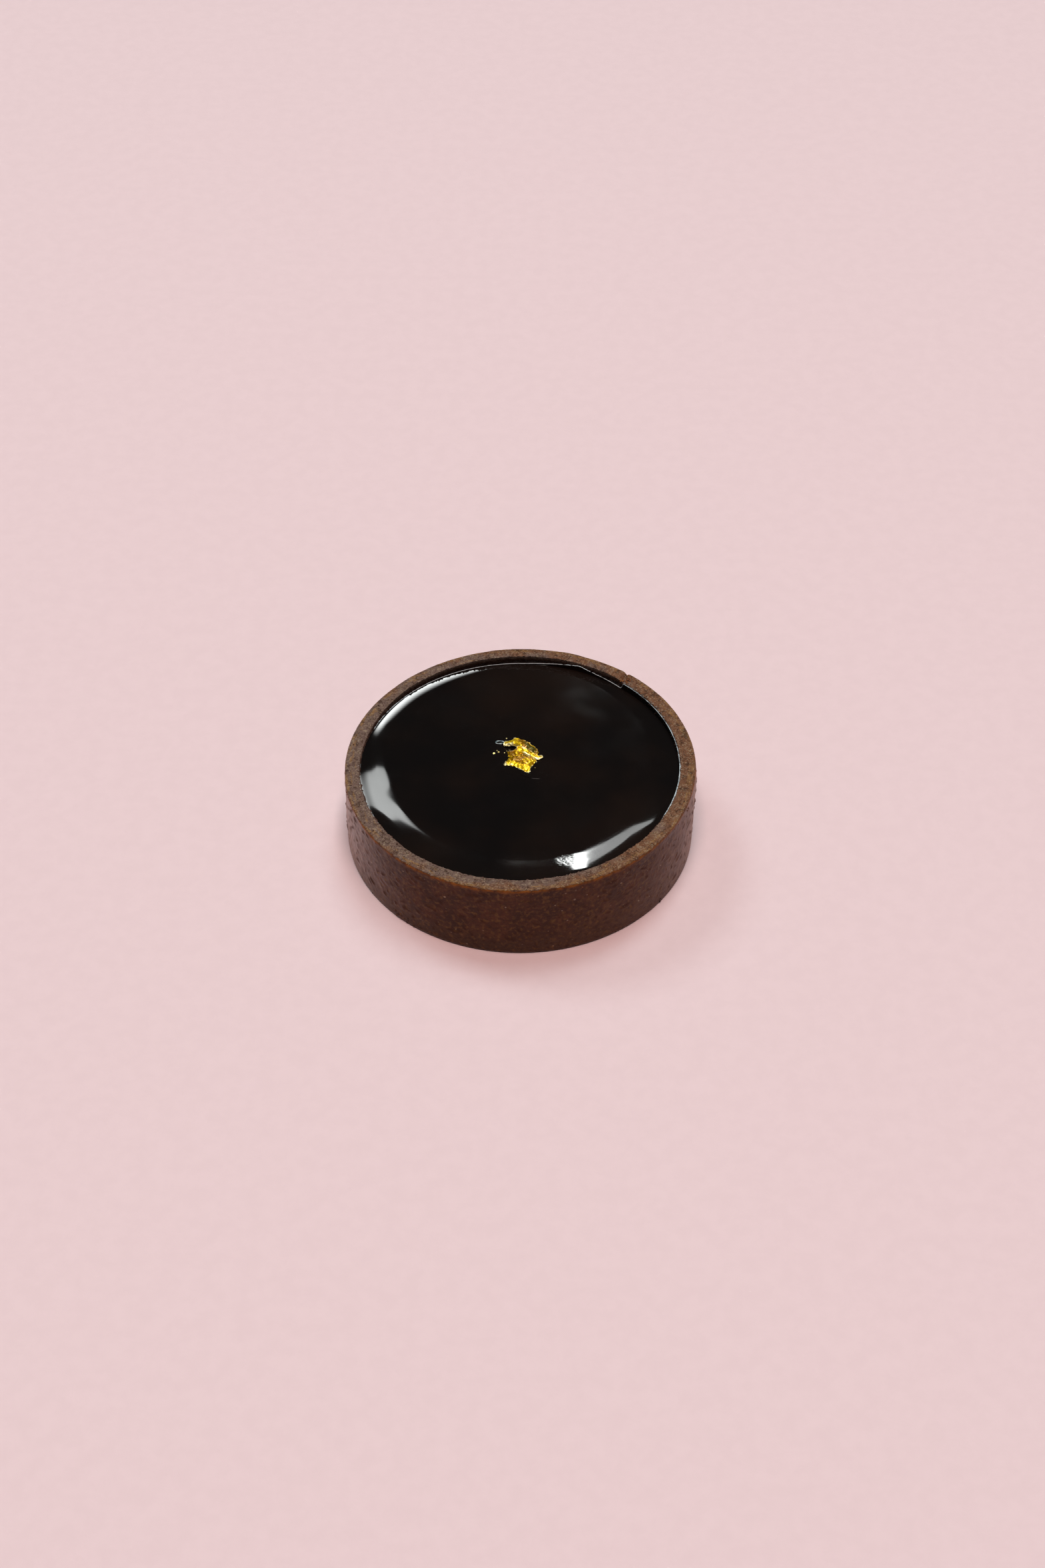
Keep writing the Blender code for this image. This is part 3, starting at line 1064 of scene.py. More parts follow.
@dataclass
class PastryCase:
    """The straight-sided case, baked in a perforated ring and filed flat at the rim.

    Attributes:
        sizes: The tart's driving sizes.
        spokes: Divisions round the case.
        rows: Divisions up the outer side.
        rim_cuts: Divisions across the rim.
        wall_cuts: Divisions down the bared inner wall.
        base_rings: Divisions of the base from its edge inwards.
        bared: How far below the rim the inner wall is finely divided.
        outer_round: Radius of the rim's outer edge.
        inner_round: Radius of the rim's inner edge.
        base_round: Radius of the base's edge.
        mark_columns: Ring marks round the case, in one row.
        mark_pitch: Height from one row of marks to the next.
        mark_radius: Radius of one mark.
        mark_height: How far a mark stands out.
        marks_from: The heights between which the marks begin above the base.
        marks_to: The depths below the rim between which they end.
        bold_angles: The angles round the case at which they are boldest.
        bold_spread: How far to each side of those they are bold, in degrees.
        bold_height: How much farther the bold ones stand out.
        seam_angle: The angle round the case at which the pastry strip's ends meet.
        seam_slant: How far the seam slants across the rim, in degrees.
        seam_width: Of the seam, in degrees.
        seam_depth: Of the seam.
        ON_WALL: How far from a wall an edge's middle may be and still count as on it.
        UPRIGHT: How much nearer the axis one end of an upright edge may be.
        LONG: The least length of an edge that is divided.
    """

    sizes: TartSizes
    spokes: int = 760
    rows: int = 56
    rim_cuts: int = 8
    wall_cuts: int = 9
    base_rings: int = 12
    bared: float = 3.2 * MM
    outer_round: float = 0.55 * MM
    inner_round: float = 0.45 * MM
    base_round: float = 0.6 * MM
    mark_columns: int = 63
    mark_pitch: float = 1.55 * MM
    mark_radius: float = 0.78 * MM
    mark_height: float = 0.13 * MM
    marks_from: tuple[float, float] = (1.2 * MM, 2.2 * MM)
    marks_to: tuple[float, float] = (1.0 * MM, 1.8 * MM)
    bold_angles: tuple[float, float] = (-6.0, 188.0)
    bold_spread: float = 26.0
    bold_height: float = 0.20 * MM
    seam_angle: float = 48.0
    seam_slant: float = 2.6
    seam_width: float = 0.75
    seam_depth: float = 0.65 * MM

    ON_WALL = 0.05 * MM
    UPRIGHT = 0.06 * MM
    LONG = 1.5 * MM

    def build(self) -> bpy.types.Object:
        """Model the case and return it."""
        case = self.turn_blank()
        self.round_edges(case)
        self.lean_rim(case)
        self.divide(case)
        self.press_marks(case)
        self.bake(case)
        self.crumble_rim(case)
        self.open_seam(case)
        face_outwards(case)
        shade_smooth(case)
        return case

    def turn_blank(self) -> bpy.types.Object:
        """Start from a cylinder and hollow it from the top."""
        size = self.sizes
        bpy.ops.mesh.primitive_cylinder_add(
            vertices=self.spokes,
            radius=size.radius,
            depth=size.height,
            end_fill_type="NGON",
            location=(0.0, 0.0, 0.5 * size.height),
        )
        case = take_new("pastry_case")
        top = face_centres(case)[:, 2] > size.height - NEAR
        with editing(case, Element.FACE, top):
            bpy.ops.mesh.inset(thickness=size.wall)
            for drop in (self.bared, size.height - size.floor - self.bared):
                bpy.ops.mesh.extrude_region_move(
                    TRANSFORM_OT_translate={"value": (0.0, 0.0, -drop)}
                )
            bpy.ops.mesh.inset(thickness=0.5 * size.inner)
            bpy.ops.mesh.merge(type="CENTER")
        return case

    def round_edges(self, case: bpy.types.Object) -> None:
        """Bevel the rim's two edges and the base's edge."""
        size = self.sizes
        for radius, height, width, segments in (
            (size.radius, size.height, self.outer_round, 3),
            (size.inner, size.height, self.inner_round, 2),
            (size.radius, 0.0, self.base_round, 3),
        ):
            start, end = edge_ends(case)
            middle = 0.5 * (start + end)
            loop = np.abs(radius_of(start) - radius) < NEAR
            loop &= np.abs(radius_of(end) - radius) < NEAR
            loop &= np.abs(middle[:, 2] - height) < NEAR
            with editing(case, Element.EDGE, loop):
                bpy.ops.mesh.bevel(offset=width, segments=segments, profile=0.5)

    def lean_rim(self, case: bpy.types.Object) -> None:
        """Tip everything near the rim about the middle of its plane."""
        size = self.sizes
        upper = vertex_places(case)[:, 2] > size.height - self.bared - NEAR
        with editing(case, Element.VERTEX, upper):
            for axis, rise in (("Y", size.LEAN_X), ("X", -size.LEAN_Y)):
                bpy.ops.transform.rotate(
                    value=math.atan(rise / size.radius),
                    orient_axis=axis,
                    center_override=(0.0, 0.0, size.height),
                )

    def divide(self, case: bpy.types.Object) -> None:
        """Cut the side into rows and the rim, the bared inner wall and the base into rings."""
        size = self.sizes
        for cuts, radius in ((self.rows, size.radius), (self.wall_cuts, size.inner)):
            start, end = edge_ends(case)
            upright = np.abs(radius_of(start) - radius_of(end)) < self.UPRIGHT
            tall = np.abs(start[:, 2] - end[:, 2]) > self.LONG
            middle = 0.5 * (start + end)
            place = np.abs(radius_of(middle) - radius) < self.ON_WALL
            place &= middle[:, 2] > 0.3 * size.height
            with editing(case, Element.EDGE, upright & tall & place):
                bpy.ops.mesh.subdivide(number_cuts=cuts)
        start, end = edge_ends(case)
        across = np.abs(radius_of(start) - radius_of(end)) > self.LONG
        rim = 0.5 * (start[:, 2] + end[:, 2]) > 0.9 * size.height
        with editing(case, Element.EDGE, across & rim):
            bpy.ops.mesh.subdivide(number_cuts=self.rim_cuts)
        under = face_centres(case)[:, 2] < NEAR
        with editing(case, Element.FACE, under):
            for _ring in range(self.base_rings):
                bpy.ops.mesh.inset(thickness=size.radius / (self.base_rings + 2))
            bpy.ops.mesh.merge(type="CENTER")

    def press_marks(self, case: bpy.types.Object) -> None:
        """Raise the staggered dots that the ring's holes leave on the side."""
        size = self.sizes
        places = vertex_places(case)
        turn = np.radians(angle_of(places))
        aside, above = self.drift(turn, places[:, 2] / self.mark_pitch)
        row = np.round(places[:, 2] / self.mark_pitch + above)
        column = turn * self.mark_columns / math.tau + 0.5 * (row % 2.0) + aside
        pitch = math.tau * size.radius / self.mark_columns
        gap = np.hypot(
            (column - np.round(column)) * pitch / self.mark_radius,
            (places[:, 2] / self.mark_pitch + above - row) * self.mark_pitch / self.mark_radius,
        )
        dots = np.clip(1.0 - gap**2, 0.0, 1.0) ** 1.5
        strength = self.mark_strengths(np.round(column), row)
        side = radius_of(places) > size.radius - 0.2 * MM
        inside_ring = smoothstep(*self.marks_from, places[:, 2])
        inside_ring *= smoothstep(*self.marks_to, size.height - places[:, 2])
        marks = dots * strength * side * inside_ring
        keep_attribute(case, "ring_mark", marks)
        push_by_group(case, weigh(case, "ring_mark", marks), self.mark_height, "NORMAL")
        bold = sum(
            bell(angle_gap(angle_of(places), angle), self.bold_spread)
            for angle in self.bold_angles
        )
        push_by_group(case, weigh(case, "bold_mark", marks * bold), self.bold_height, "NORMAL")

    def drift(self, turn: np.ndarray, row: np.ndarray) -> tuple[np.ndarray, np.ndarray]:
        """Return how far the dough has drifted under the ring's holes.

        Args:
            turn: Angles round the case, in radians.
            row: Heights, in rows of marks.

        Returns:
            The drift round the case and upwards, in pitches of the marks.
        """
        aside = 0.20 * np.sin(23.0 * turn + 1.3 * row)
        aside += 0.14 * np.sin(41.0 * turn - 2.1 * row + 1.0)
        above = 0.16 * np.sin(31.0 * turn + 0.9 * row + 2.0)
        above += 0.12 * np.sin(53.0 * turn + 1.7 * row)
        return aside, above

    def mark_strengths(self, column: np.ndarray, row: np.ndarray) -> np.ndarray:
        """Return how clearly each mark is pressed, by its column and row."""
        scatter = np.sin(column * 12.9898 + row * 78.233) * 43758.5453
        patches = 0.5 + 0.5 * np.sin(0.41 * column + 0.6 * row) * np.sin(0.23 * column - 0.9 * row)
        return (0.25 + 0.75 * (scatter - np.floor(scatter))) * (0.35 + 0.65 * patches)

    def bake(self, case: bpy.types.Object) -> None:
        """Give the side its slow waves and the fine grain of baked dough."""
        size = self.sizes
        places = vertex_places(case)
        raised = smoothstep(0.4 * MM, 5.0 * MM, places[:, 2])
        raised *= 0.3 + 0.7 * smoothstep(0.4 * MM, 2.0 * MM, size.height - places[:, 2])
        side = weigh(case, "side", raised * (radius_of(places) > size.radius - 0.5 * MM))
        Relief("waves", 16.0 * MM, 0.5 * MM, detail=1).push_into(case, side)
        Relief("lumps", 3.0 * MM, 0.10 * MM, detail=1).push_into(case, side)
        Relief("grain", 0.9 * MM, 0.07 * MM, detail=2).push_into(case, side)
        upper = smoothstep(0.3 * size.height, size.height, places[:, 2])
        high = weigh(case, "upper", upper)
        Relief("rim_waves", 9.0 * MM, 0.36 * MM, detail=1, direction="Z").push_into(case, high)

    def crumble_rim(self, case: bpy.types.Object) -> None:
        """Roughen the filed rim with grains and small torn pits."""
        size = self.sizes
        places = vertex_places(case)
        rim = smoothstep(size.height - 2.6 * MM, size.height - 0.7 * MM, places[:, 2])
        rim *= 1.0 - 0.85 * smoothstep(-0.9 * MM, -0.3 * MM, radius_of(places) - size.radius)
        group = weigh(case, "rim", rim)
        Relief("rim_lumps", 1.6 * MM, 0.22 * MM, detail=2).push_into(case, group)
        Relief("rim_grains", 0.55 * MM, 0.22 * MM, detail=1).push_into(case, group)
        Relief(
            "rim_pits", 0.9 * MM, -0.25 * MM, basis="VORONOI_CRACKLE", detail=0, middle=0.85
        ).push_into(case, group)

    def open_seam(self, case: bpy.types.Object) -> None:
        """Part the rim where the pastry strip's ends meet."""
        size = self.sizes
        places = vertex_places(case)
        share = (radius_of(places) - size.inner) / size.wall
        across = angle_gap(angle_of(places), self.seam_angle) - self.seam_slant * share
        upper = smoothstep(size.height - 2.0 * MM, size.height - 0.6 * MM, places[:, 2])
        wall = share > -0.1
        gap = weigh(case, "seam", bell(across, self.seam_width) * upper * wall)
        push_by_group(case, gap, -self.seam_depth, "Z")


# --------------------------------------------------------------------------------------
# Glazed filling
# --------------------------------------------------------------------------------------


@dataclass
class GlazedFilling:
    """The filling's poured top, which draws up where it wets the wall.

    Attributes:
        sizes: The tart's driving sizes.
        spokes: Divisions round the filling.
        overlap: How far the filling reaches into the wall.
        ring_steps: The divisions from the wall inwards, as (count, width of each).
        climbs: At angles round the tart, how high the glaze draws up at the wall and how
            far from the wall it starts to, in millimetres.
        climb_power: How steeply the climb ends at the wall.
        climb_turn: How far to each side of an angle its climb is averaged, in degrees.
        rim_room: The least height of the rim above the glaze.
        easing: How gently the climb levels out below the rim.
        CLIMB_SAMPLES: How many angles the climb is averaged over.
        FLOOR_GAP: Between the case's floor and the filling.
    """

    sizes: TartSizes
    spokes: int = 512
    overlap: float = 0.25 * MM
    climbs: Sequence[tuple[float, float, float]] = (
        (0.0, 0.98, 10.2), (25.0, 0.52, 5.4), (50.0, 0.30, 3.1), (66.0, 0.20, 2.0),
        (80.0, 0.12, 1.4), (90.0, 0.13, 1.8), (100.0, 0.20, 2.9), (110.0, 0.30, 4.2),
        (120.0, 0.36, 5.1), (140.0, 0.42, 6.0), (158.0, 0.46, 6.0), (174.0, 0.85, 8.2),
        (190.0, 1.15, 12.0), (345.0, 1.15, 12.0), (360.0, 0.98, 10.2),
    )
    climb_power: float = 2.5
    climb_turn: float = 14.0
    rim_room: float = 0.25 * MM
    easing: float = 0.12 * MM
    ring_steps: Sequence[tuple[int, float]] = (
        (24, 0.13 * MM), (24, 0.30 * MM), (14, 0.60 * MM), (34, 0.50 * MM),
    )

    CLIMB_SAMPLES = 41
    FLOOR_GAP = 0.1 * MM

    def build(self) -> bpy.types.Object:
        """Model the filling and return it."""
        filling = self.pour()
        self.climb_wall(filling)
        Relief("settling", 14.0 * MM, 0.05 * MM, detail=0, direction="Z").push_into(
            filling, "surface"
        )
        face_outwards(filling)
        shade_smooth(filling)
        return filling

    def pour(self) -> bpy.types.Object:
        """Start from a cylinder and ring its top from the wall to the middle."""
        size = self.sizes
        inner = size.inner + self.overlap
        bottom = size.floor + self.FLOOR_GAP
        depth = size.level - bottom
        bpy.ops.mesh.primitive_cylinder_add(
            vertices=self.spokes,
            radius=inner,
            depth=depth,
            end_fill_type="NGON",
            location=(0.0, 0.0, bottom + 0.5 * depth),
        )
        filling = take_new("glazed_filling")
        top = face_centres(filling)[:, 2] > size.level - NEAR
        with editing(filling, Element.FACE, top):
            for count, width in self.ring_steps:
                for _ring in range(count):
                    bpy.ops.mesh.inset(thickness=width)
            bpy.ops.mesh.merge(type="CENTER")
        surface = vertex_places(filling)[:, 2] > size.level - NEAR
        weigh(filling, "surface", surface.astype(float))
        return filling

    def climb_wall(self, filling: bpy.types.Object) -> None:
        """Draw the glaze up at the wall, where it wets the pastry."""
        size = self.sizes
        places = vertex_places(filling)
        angle = angle_of(places)
        inset = np.maximum(size.inner - radius_of(places), 0.0)
        surface = places[:, 2] > size.level - NEAR
        height, reach = self.climb_at(angle)
        lift = height * np.clip(1.0 - inset / reach, 0.0, 1.0) ** self.climb_power
        room = size.rim_at(places) - self.rim_room - size.level
        push(filling, "climb", soft_minimum(lift, room, self.easing) * surface, "Z")

    def climb_at(self, angle: np.ndarray) -> tuple[np.ndarray, np.ndarray]:
        """Return the climb's height and reach at each angle, eased between the given ones."""
        angles, heights, reaches = zip(*self.climbs)
        turns = np.linspace(-self.climb_turn, self.climb_turn, self.CLIMB_SAMPLES)
        shares = np.cos(0.5 * math.pi * turns / self.climb_turn) ** 2
        shares /= shares.sum()
        height, reach = (
            sum(
                share * np.interp((angle + turn) % 360.0, angles, values)
                for turn, share in zip(turns, shares)
            )
            for values in (heights, reaches)
        )
        return height * MM, reach * MM


@dataclass
class WallFilm:
    """The thin film of glaze smeared up the inner wall, with a rounded lip.

    Attributes:
        sizes: The tart's driving sizes.
        spokes: Divisions of the whole ring that it is cut from.
        rows: Divisions up the film.
        heights: At angles round the tart, how high it reaches above the glaze, in
            millimetres.
        below: How far its foot is sunk in the glaze.
        thickness: Of the film.
        foot: How much thicker it is at its foot.
        lip: How much thicker it is at its lip.
        lip_width: How wide the lip is.
        backing: How far it reaches back into the wall.
        seam: The angle of the case's seam.
        lip_highlight_tones: How strong the lip's painted highlight is before the seam and past it.
        edge_room: The least height of the rim above the lip.
        easing: How gently the lip levels out below the rim.
    """

    sizes: TartSizes
    spokes: int = 900
    rows: int = 17
    heights: Sequence[tuple[float, float]] = (
        (-34.0, 1.2), (-26.0, 2.8), (47.5, 2.8), (49.0, 0.45), (55.0, 0.8), (60.0, 1.1),
        (64.0, 1.5), (67.5, 2.1), (68.5, 1.8), (75.0, 1.2), (80.0, 0.75), (88.0, 0.36),
        (100.0, 0.38), (110.0, 0.44), (120.0, 0.50), (140.0, 0.56), (156.0, 0.62), (161.0, 0.40),
    )
    below: float = 0.30 * MM
    thickness: float = 0.05 * MM
    foot: float = 0.10 * MM
    lip: float = 0.09 * MM
    lip_width: float = 0.17 * MM
    backing: float = 0.30 * MM
    seam: float = 48.2
    lip_highlight_tones: tuple[float, float] = (0.7, 3.0)
    edge_room: float = 0.16 * MM
    easing: float = 0.05 * MM

    def build(self) -> bpy.types.Object:
        """Model the film and return it."""
        film = self.cut_strip()
        self.draw_up(film)
        Relief("smears", 0.6 * MM, 0.14 * MM, detail=2, direction="Z").push_into(film, "rise")
        self.thicken(film)
        shade_smooth(film)
        return film

    def cut_strip(self) -> bpy.types.Object:
        """Start from an open cylinder and keep the part where the film is."""
        size = self.sizes
        bpy.ops.mesh.primitive_cylinder_add(
            vertices=self.spokes,
            radius=size.inner,
            depth=self.below,
            end_fill_type="NOTHING",
            location=(0.0, 0.0, size.level - 0.5 * self.below),
        )
        film = take_new("wall_film")
        angle = angle_of(face_centres(film))
        first, last = self.heights[0][0], self.heights[-1][0]
        with editing(film, Element.FACE, (angle < first) | (angle > last)):
            bpy.ops.mesh.delete(type="FACE")
        start, end = edge_ends(film)
        with editing(film, Element.EDGE, np.abs(start[:, 2] - end[:, 2]) > 0.5 * self.below):
            bpy.ops.mesh.subdivide(number_cuts=self.rows)
        return film

    def draw_up(self, film: bpy.types.Object) -> None:
        """Draw the strip up to the film's lip and keep how far up each vertex is."""
        size = self.sizes
        places = vertex_places(film)
        share = 1.0 - ((size.level - places[:, 2]) / self.below) ** 2
        angles, heights = zip(*self.heights)
        height = np.interp(angle_of(places), angles, heights) * MM
        room = size.rim_at(places) - self.edge_room - size.level
        height = soft_minimum(height, room, self.easing)
        rise = share * (height + self.below) - (places[:, 2] - size.level + self.below)
        keep_attribute(film, "film_share", share)
        keep_attribute(film, "below_lip", (1.0 - share) * (height + self.below))
        push(film, "rise", np.maximum(rise, 0.0), "Z")

    def thicken(self, film: bpy.types.Object) -> None:
        """Swell the film inwards at its foot and its lip, and close it behind."""
        share = read_attribute(film, "film_share").astype(float)
        below_lip = read_attribute(film, "below_lip").astype(float)
        swell = self.thickness + self.foot * (1.0 - share) ** 3
        swell += self.lip * bell(below_lip - 0.5 * self.lip_width, 0.5 * self.lip_width)
        # Painted highlight: store how pale the lip is painted, for the glaze's material.
        before, past = self.lip_highlight_tones
        tone = np.where(angle_of(vertex_places(film)) > self.seam, past, before)
        keep_attribute(film, "lip", tone * bell(below_lip, self.lip_width))
        push(film, "swell", -swell, "NORMAL")
        solid = film.modifiers.new("solid", "SOLIDIFY")
        solid.thickness = self.backing
        solid.offset = 1.0
        apply_modifier(film, solid)


# --------------------------------------------------------------------------------------
# Gold leaf
# --------------------------------------------------------------------------------------

NetPoint = tuple[float, float, float, float]

# The nets of the leaf's five sheets, each from the sheet's back edge to its front one.

# The fourth number of each point is its painted light tone, from shade to highlight.
TENT_NET = (
    ((-3.4, 8.9, 0.4, 1.0), (-2.4, 9.2, 0.5, 1.0), (-1.5, 9.2, 0.6, 1.0), (-1.4, 9.9, 0.8, 1.2),
     (0.0, 9.2, 1.0, 0.8), (1.4, 8.5, 1.0, 0.9), (2.6, 7.3, 1.0, 0.9), (3.6, 6.3, 0.8, 0.9),
     (4.2, 5.6, 0.5, 0.9)),
    ((-3.6, 8.5, 0.6, 1.0), (-2.5, 8.6, 0.9, 0.9), (-1.4, 8.6, 1.1, 0.9), (-0.9, 8.7, 1.2, 0.8),
     (0.1, 8.3, 1.3, 0.4), (1.4, 7.8, 1.2, 0.0), (2.6, 6.7, 1.2, 0.0), (3.5, 5.8, 0.9, 0.0),
     (4.0, 5.3, 0.6, 0.2)),
    ((-3.8, 8.0, 0.6, 1.3), (-2.6, 7.8, 1.0, 1.4), (-1.5, 7.7, 1.3, 1.2), (-0.6, 7.5, 1.5, 0.9),
     (0.3, 7.2, 1.6, 0.7), (1.3, 6.8, 1.4, 0.2), (2.4, 5.9, 1.2, 0.1), (3.3, 5.2, 0.9, 0.1),
     (3.9, 4.9, 0.6, 0.4)),
    ((-3.9, 7.7, 0.3, 1.5), (-2.9, 7.4, 0.4, 1.5), (-1.7, 7.4, 0.6, 1.5), (-0.7, 7.1, 0.9, 1.2),
     (0.2, 6.3, 0.9, 0.9), (1.2, 5.8, 0.8, 0.5), (2.3, 5.0, 0.7, 0.3), (3.2, 4.4, 0.5, 0.2),
     (3.8, 4.2, 0.3, 0.5)),
)

PLEATS_NET = (
    ((-0.9, 6.8, 1.3, 0.9), (-0.1, 6.6, 1.5, 1.1), (0.9, 6.1, 1.4, 1.4), (2.0, 5.5, 1.2, 1.1),
     (3.1, 4.9, 0.9, 1.2), (4.2, 4.0, 0.6, 1.4), (5.2, 4.4, 0.5, 1.5)),
    ((-0.8, 6.1, 1.0, 0.9), (0.0, 5.8, 1.1, 0.8), (1.0, 5.4, 1.0, 1.3), (2.1, 4.9, 0.8, 0.5),
     (3.2, 4.4, 0.5, 0.6), (4.2, 3.8, 0.3, 0.9), (5.2, 4.3, 0.3, 1.2)),
    ((-0.6, 5.6, 1.0, 0.7), (0.1, 5.3, 1.1, 1.0), (1.0, 4.9, 1.0, 1.5), (2.1, 4.4, 0.8, 1.3),
     (3.2, 3.9, 0.6, 1.3), (4.2, 3.4, 0.4, 1.4), (5.3, 4.1, 0.4, 1.5)),
    ((-0.5, 5.1, 0.5, 0.6), (0.2, 4.9, 0.5, 0.9), (1.0, 4.6, 0.4, 1.3), (2.2, 4.1, 0.3, 1.2),
     (3.4, 3.5, 0.2, 1.3), (4.2, 3.0, 0.2, 1.5), (5.1, 3.9, 0.2, 1.5)),
)

CURL_NET = (
    ((-3.3, 6.0, 0.5, 1.0), (-2.4, 5.6, 0.7, 1.1), (-1.6, 5.7, 0.8, 1.4), (-0.8, 6.2, 1.0, 1.4),
     (-0.4, 7.0, 1.1, 1.2)),
    ((-3.2, 6.0, 0.1, 0.3), (-2.3, 5.7, 0.1, 0.3), (-1.5, 5.8, 0.1, 0.3), (-0.7, 6.3, 0.3, 0.4),
     (-0.3, 7.1, 0.5, 0.5)),
)

LINK_NET = (
    ((-2.8, 5.9, 0.1, 0.4), (-2.2, 5.9, 0.5, 0.4), (-1.6, 5.7, 0.3, 0.4), (-1.0, 6.1, 0.8, 0.8),
     (-0.4, 6.3, 0.5, 0.5)),
    ((-2.7, 5.0, 0.1, 0.3), (-2.1, 5.0, 0.5, 0.4), (-1.5, 5.0, 0.3, 0.4), (-0.9, 5.1, 0.8, 0.8),
     (-0.1, 5.0, 0.4, 0.4)),
    ((-2.9, 4.0, 0.1, 0.5), (-2.1, 4.1, 0.4, 0.5), (-1.3, 4.1, 0.5, 0.5), (-0.5, 4.1, 0.6, 0.5),
     (0.4, 4.1, 0.4, 0.5)),
)

TONGUE_NET = (
    ((-2.8, 3.4, 0.1, 0.5), (-2.0, 4.1, 0.3, 0.4), (-0.6, 4.5, 0.4, 0.5), (0.9, 4.4, 0.4, 0.2),
     (2.2, 4.0, 0.3, 0.1), (3.8, 3.1, 0.2, 0.9)),
    ((-3.0, 2.6, 0.2, 0.8), (-2.2, 3.0, 0.5, 0.5), (-0.7, 3.2, 0.7, 0.4), (0.8, 3.0, 0.7, 0.6),
     (2.2, 2.7, 0.5, 1.0), (3.6, 2.6, 0.2, 0.5)),
    ((-3.6, 2.1, 0.3, 1.3), (-2.3, 2.1, 0.5, 1.0), (-0.9, 2.1, 0.5, 0.6), (0.5, 1.8, 0.6, 0.5),
     (2.0, 1.7, 0.5, 0.7), (3.1, 1.7, 0.1, 0.5)),
    ((-3.7, 1.7, 0.1, 1.4), (-2.2, 1.7, 0.3, 1.3), (-1.0, 1.3, 0.3, 1.2), (0.3, 0.7, 0.3, 0.9),
     (1.7, 0.6, 0.4, 0.8), (2.3, 0.9, 0.2, 0.9)),
    ((-3.6, 1.4, 0.0, 1.2), (-2.0, 1.4, 0.1, 1.1), (-0.9, 0.9, 0.1, 1.1), (0.6, -0.2, 0.1, 1.1),
     (1.9, -1.2, 0.1, 1.1), (2.4, -0.5, 0.1, 1.1)),
)


@dataclass(frozen=True)
class LeafSheet:
    """One crumpled sheet of gold leaf, laid over a net of points.

    Attributes:
        name: The sheet's name.
        rows: Rows of points from the sheet's back edge to its front one, all equally long.
            Each point has its place in millimetres, with the height over the glaze, and
            its painted light tone: 0 is shaded olive, 0.5 shaded amber, 1 bright yellow and
            1.5 a pale painted highlight.
        folds: The height of its broad folds.
        creases: The height of its fine ones.
        ragged: How far its edges are torn in and out.
        thickness: Of the sheet.
        levels: How often the net is divided.
    """

    name: str
    rows: Sequence[Sequence[NetPoint]]
    folds: float = 0.30 * MM
    creases: float = 0.05 * MM
    ragged: float = 0.60 * MM
    thickness: float = 0.03 * MM
    levels: int = 4

    def build(self, base: Vector) -> bpy.types.Object:
        """Lay the sheet over its net and crumple it.

        Args:
            base: The place of the net's origin.

        Returns:
            The sheet.
        """
        columns = len(self.rows[0])
        bpy.ops.mesh.primitive_grid_add(
            x_subdivisions=columns - 1, y_subdivisions=len(self.rows) - 1, size=1.0, location=base
        )
        sheet = take_new(self.name)
        self.lay_over_net(sheet, base)
        smooth = sheet.modifiers.new("smooth", "SUBSURF")
        smooth.levels = smooth.render_levels = self.levels
        apply_modifier(sheet, smooth)
        edge = weigh(sheet, "edge", read_attribute(sheet, "leaf_edge") ** 4)
        Relief(self.name + "_folds", 1.25 * MM, -self.folds, "VORONOI_F2_F1", 0).push_into(sheet)
        Relief(self.name + "_creases", 0.42 * MM, self.creases, detail=1).push_into(sheet)
        for way, size in (("X", 0.30 * MM), ("Y", 0.27 * MM), ("Z", 0.33 * MM)):
            torn = Relief(f"{self.name}_torn_{way}", size, self.ragged, direction=way)
            torn.push_into(sheet, edge)
        thicken = sheet.modifiers.new("thicken", "SOLIDIFY")
        thicken.thickness = self.thickness
        thicken.offset = 0.0
        apply_modifier(sheet, thicken)
        return sheet

    def lay_over_net(self, sheet: bpy.types.Object, base: Vector) -> None:
        """Move each vertex of a flat grid to its point of the net.

        Args:
            sheet: The grid.
            base: The place of the net's origin.
        """
        last_row, last_column = len(self.rows) - 1, len(self.rows[0]) - 1
        places = vertex_places(sheet) - np.array(base)
        column = np.round((places[:, 0] + 0.5) * last_column).astype(int)
        row = np.round((0.5 - places[:, 1]) * last_row).astype(int)
        # Painted light: keep each point's tone, from painted shade to painted highlight.
        tones = np.array([self.rows[r][c][3] for r, c in zip(row, column)])
        keep_attribute(sheet, "leaf_light_tone", tones)
        border = (row == 0) | (row == last_row) | (column == 0) | (column == last_column)
        keep_attribute(sheet, "leaf_edge", border.astype(float))
        for index, (r, c) in enumerate(zip(row, column)):
            target = MM * np.array(self.rows[r][c][:3])
            with editing(sheet, Element.VERTEX, np.arange(len(row)) == index):
                bpy.ops.transform.translate(value=tuple(target - places[index]))


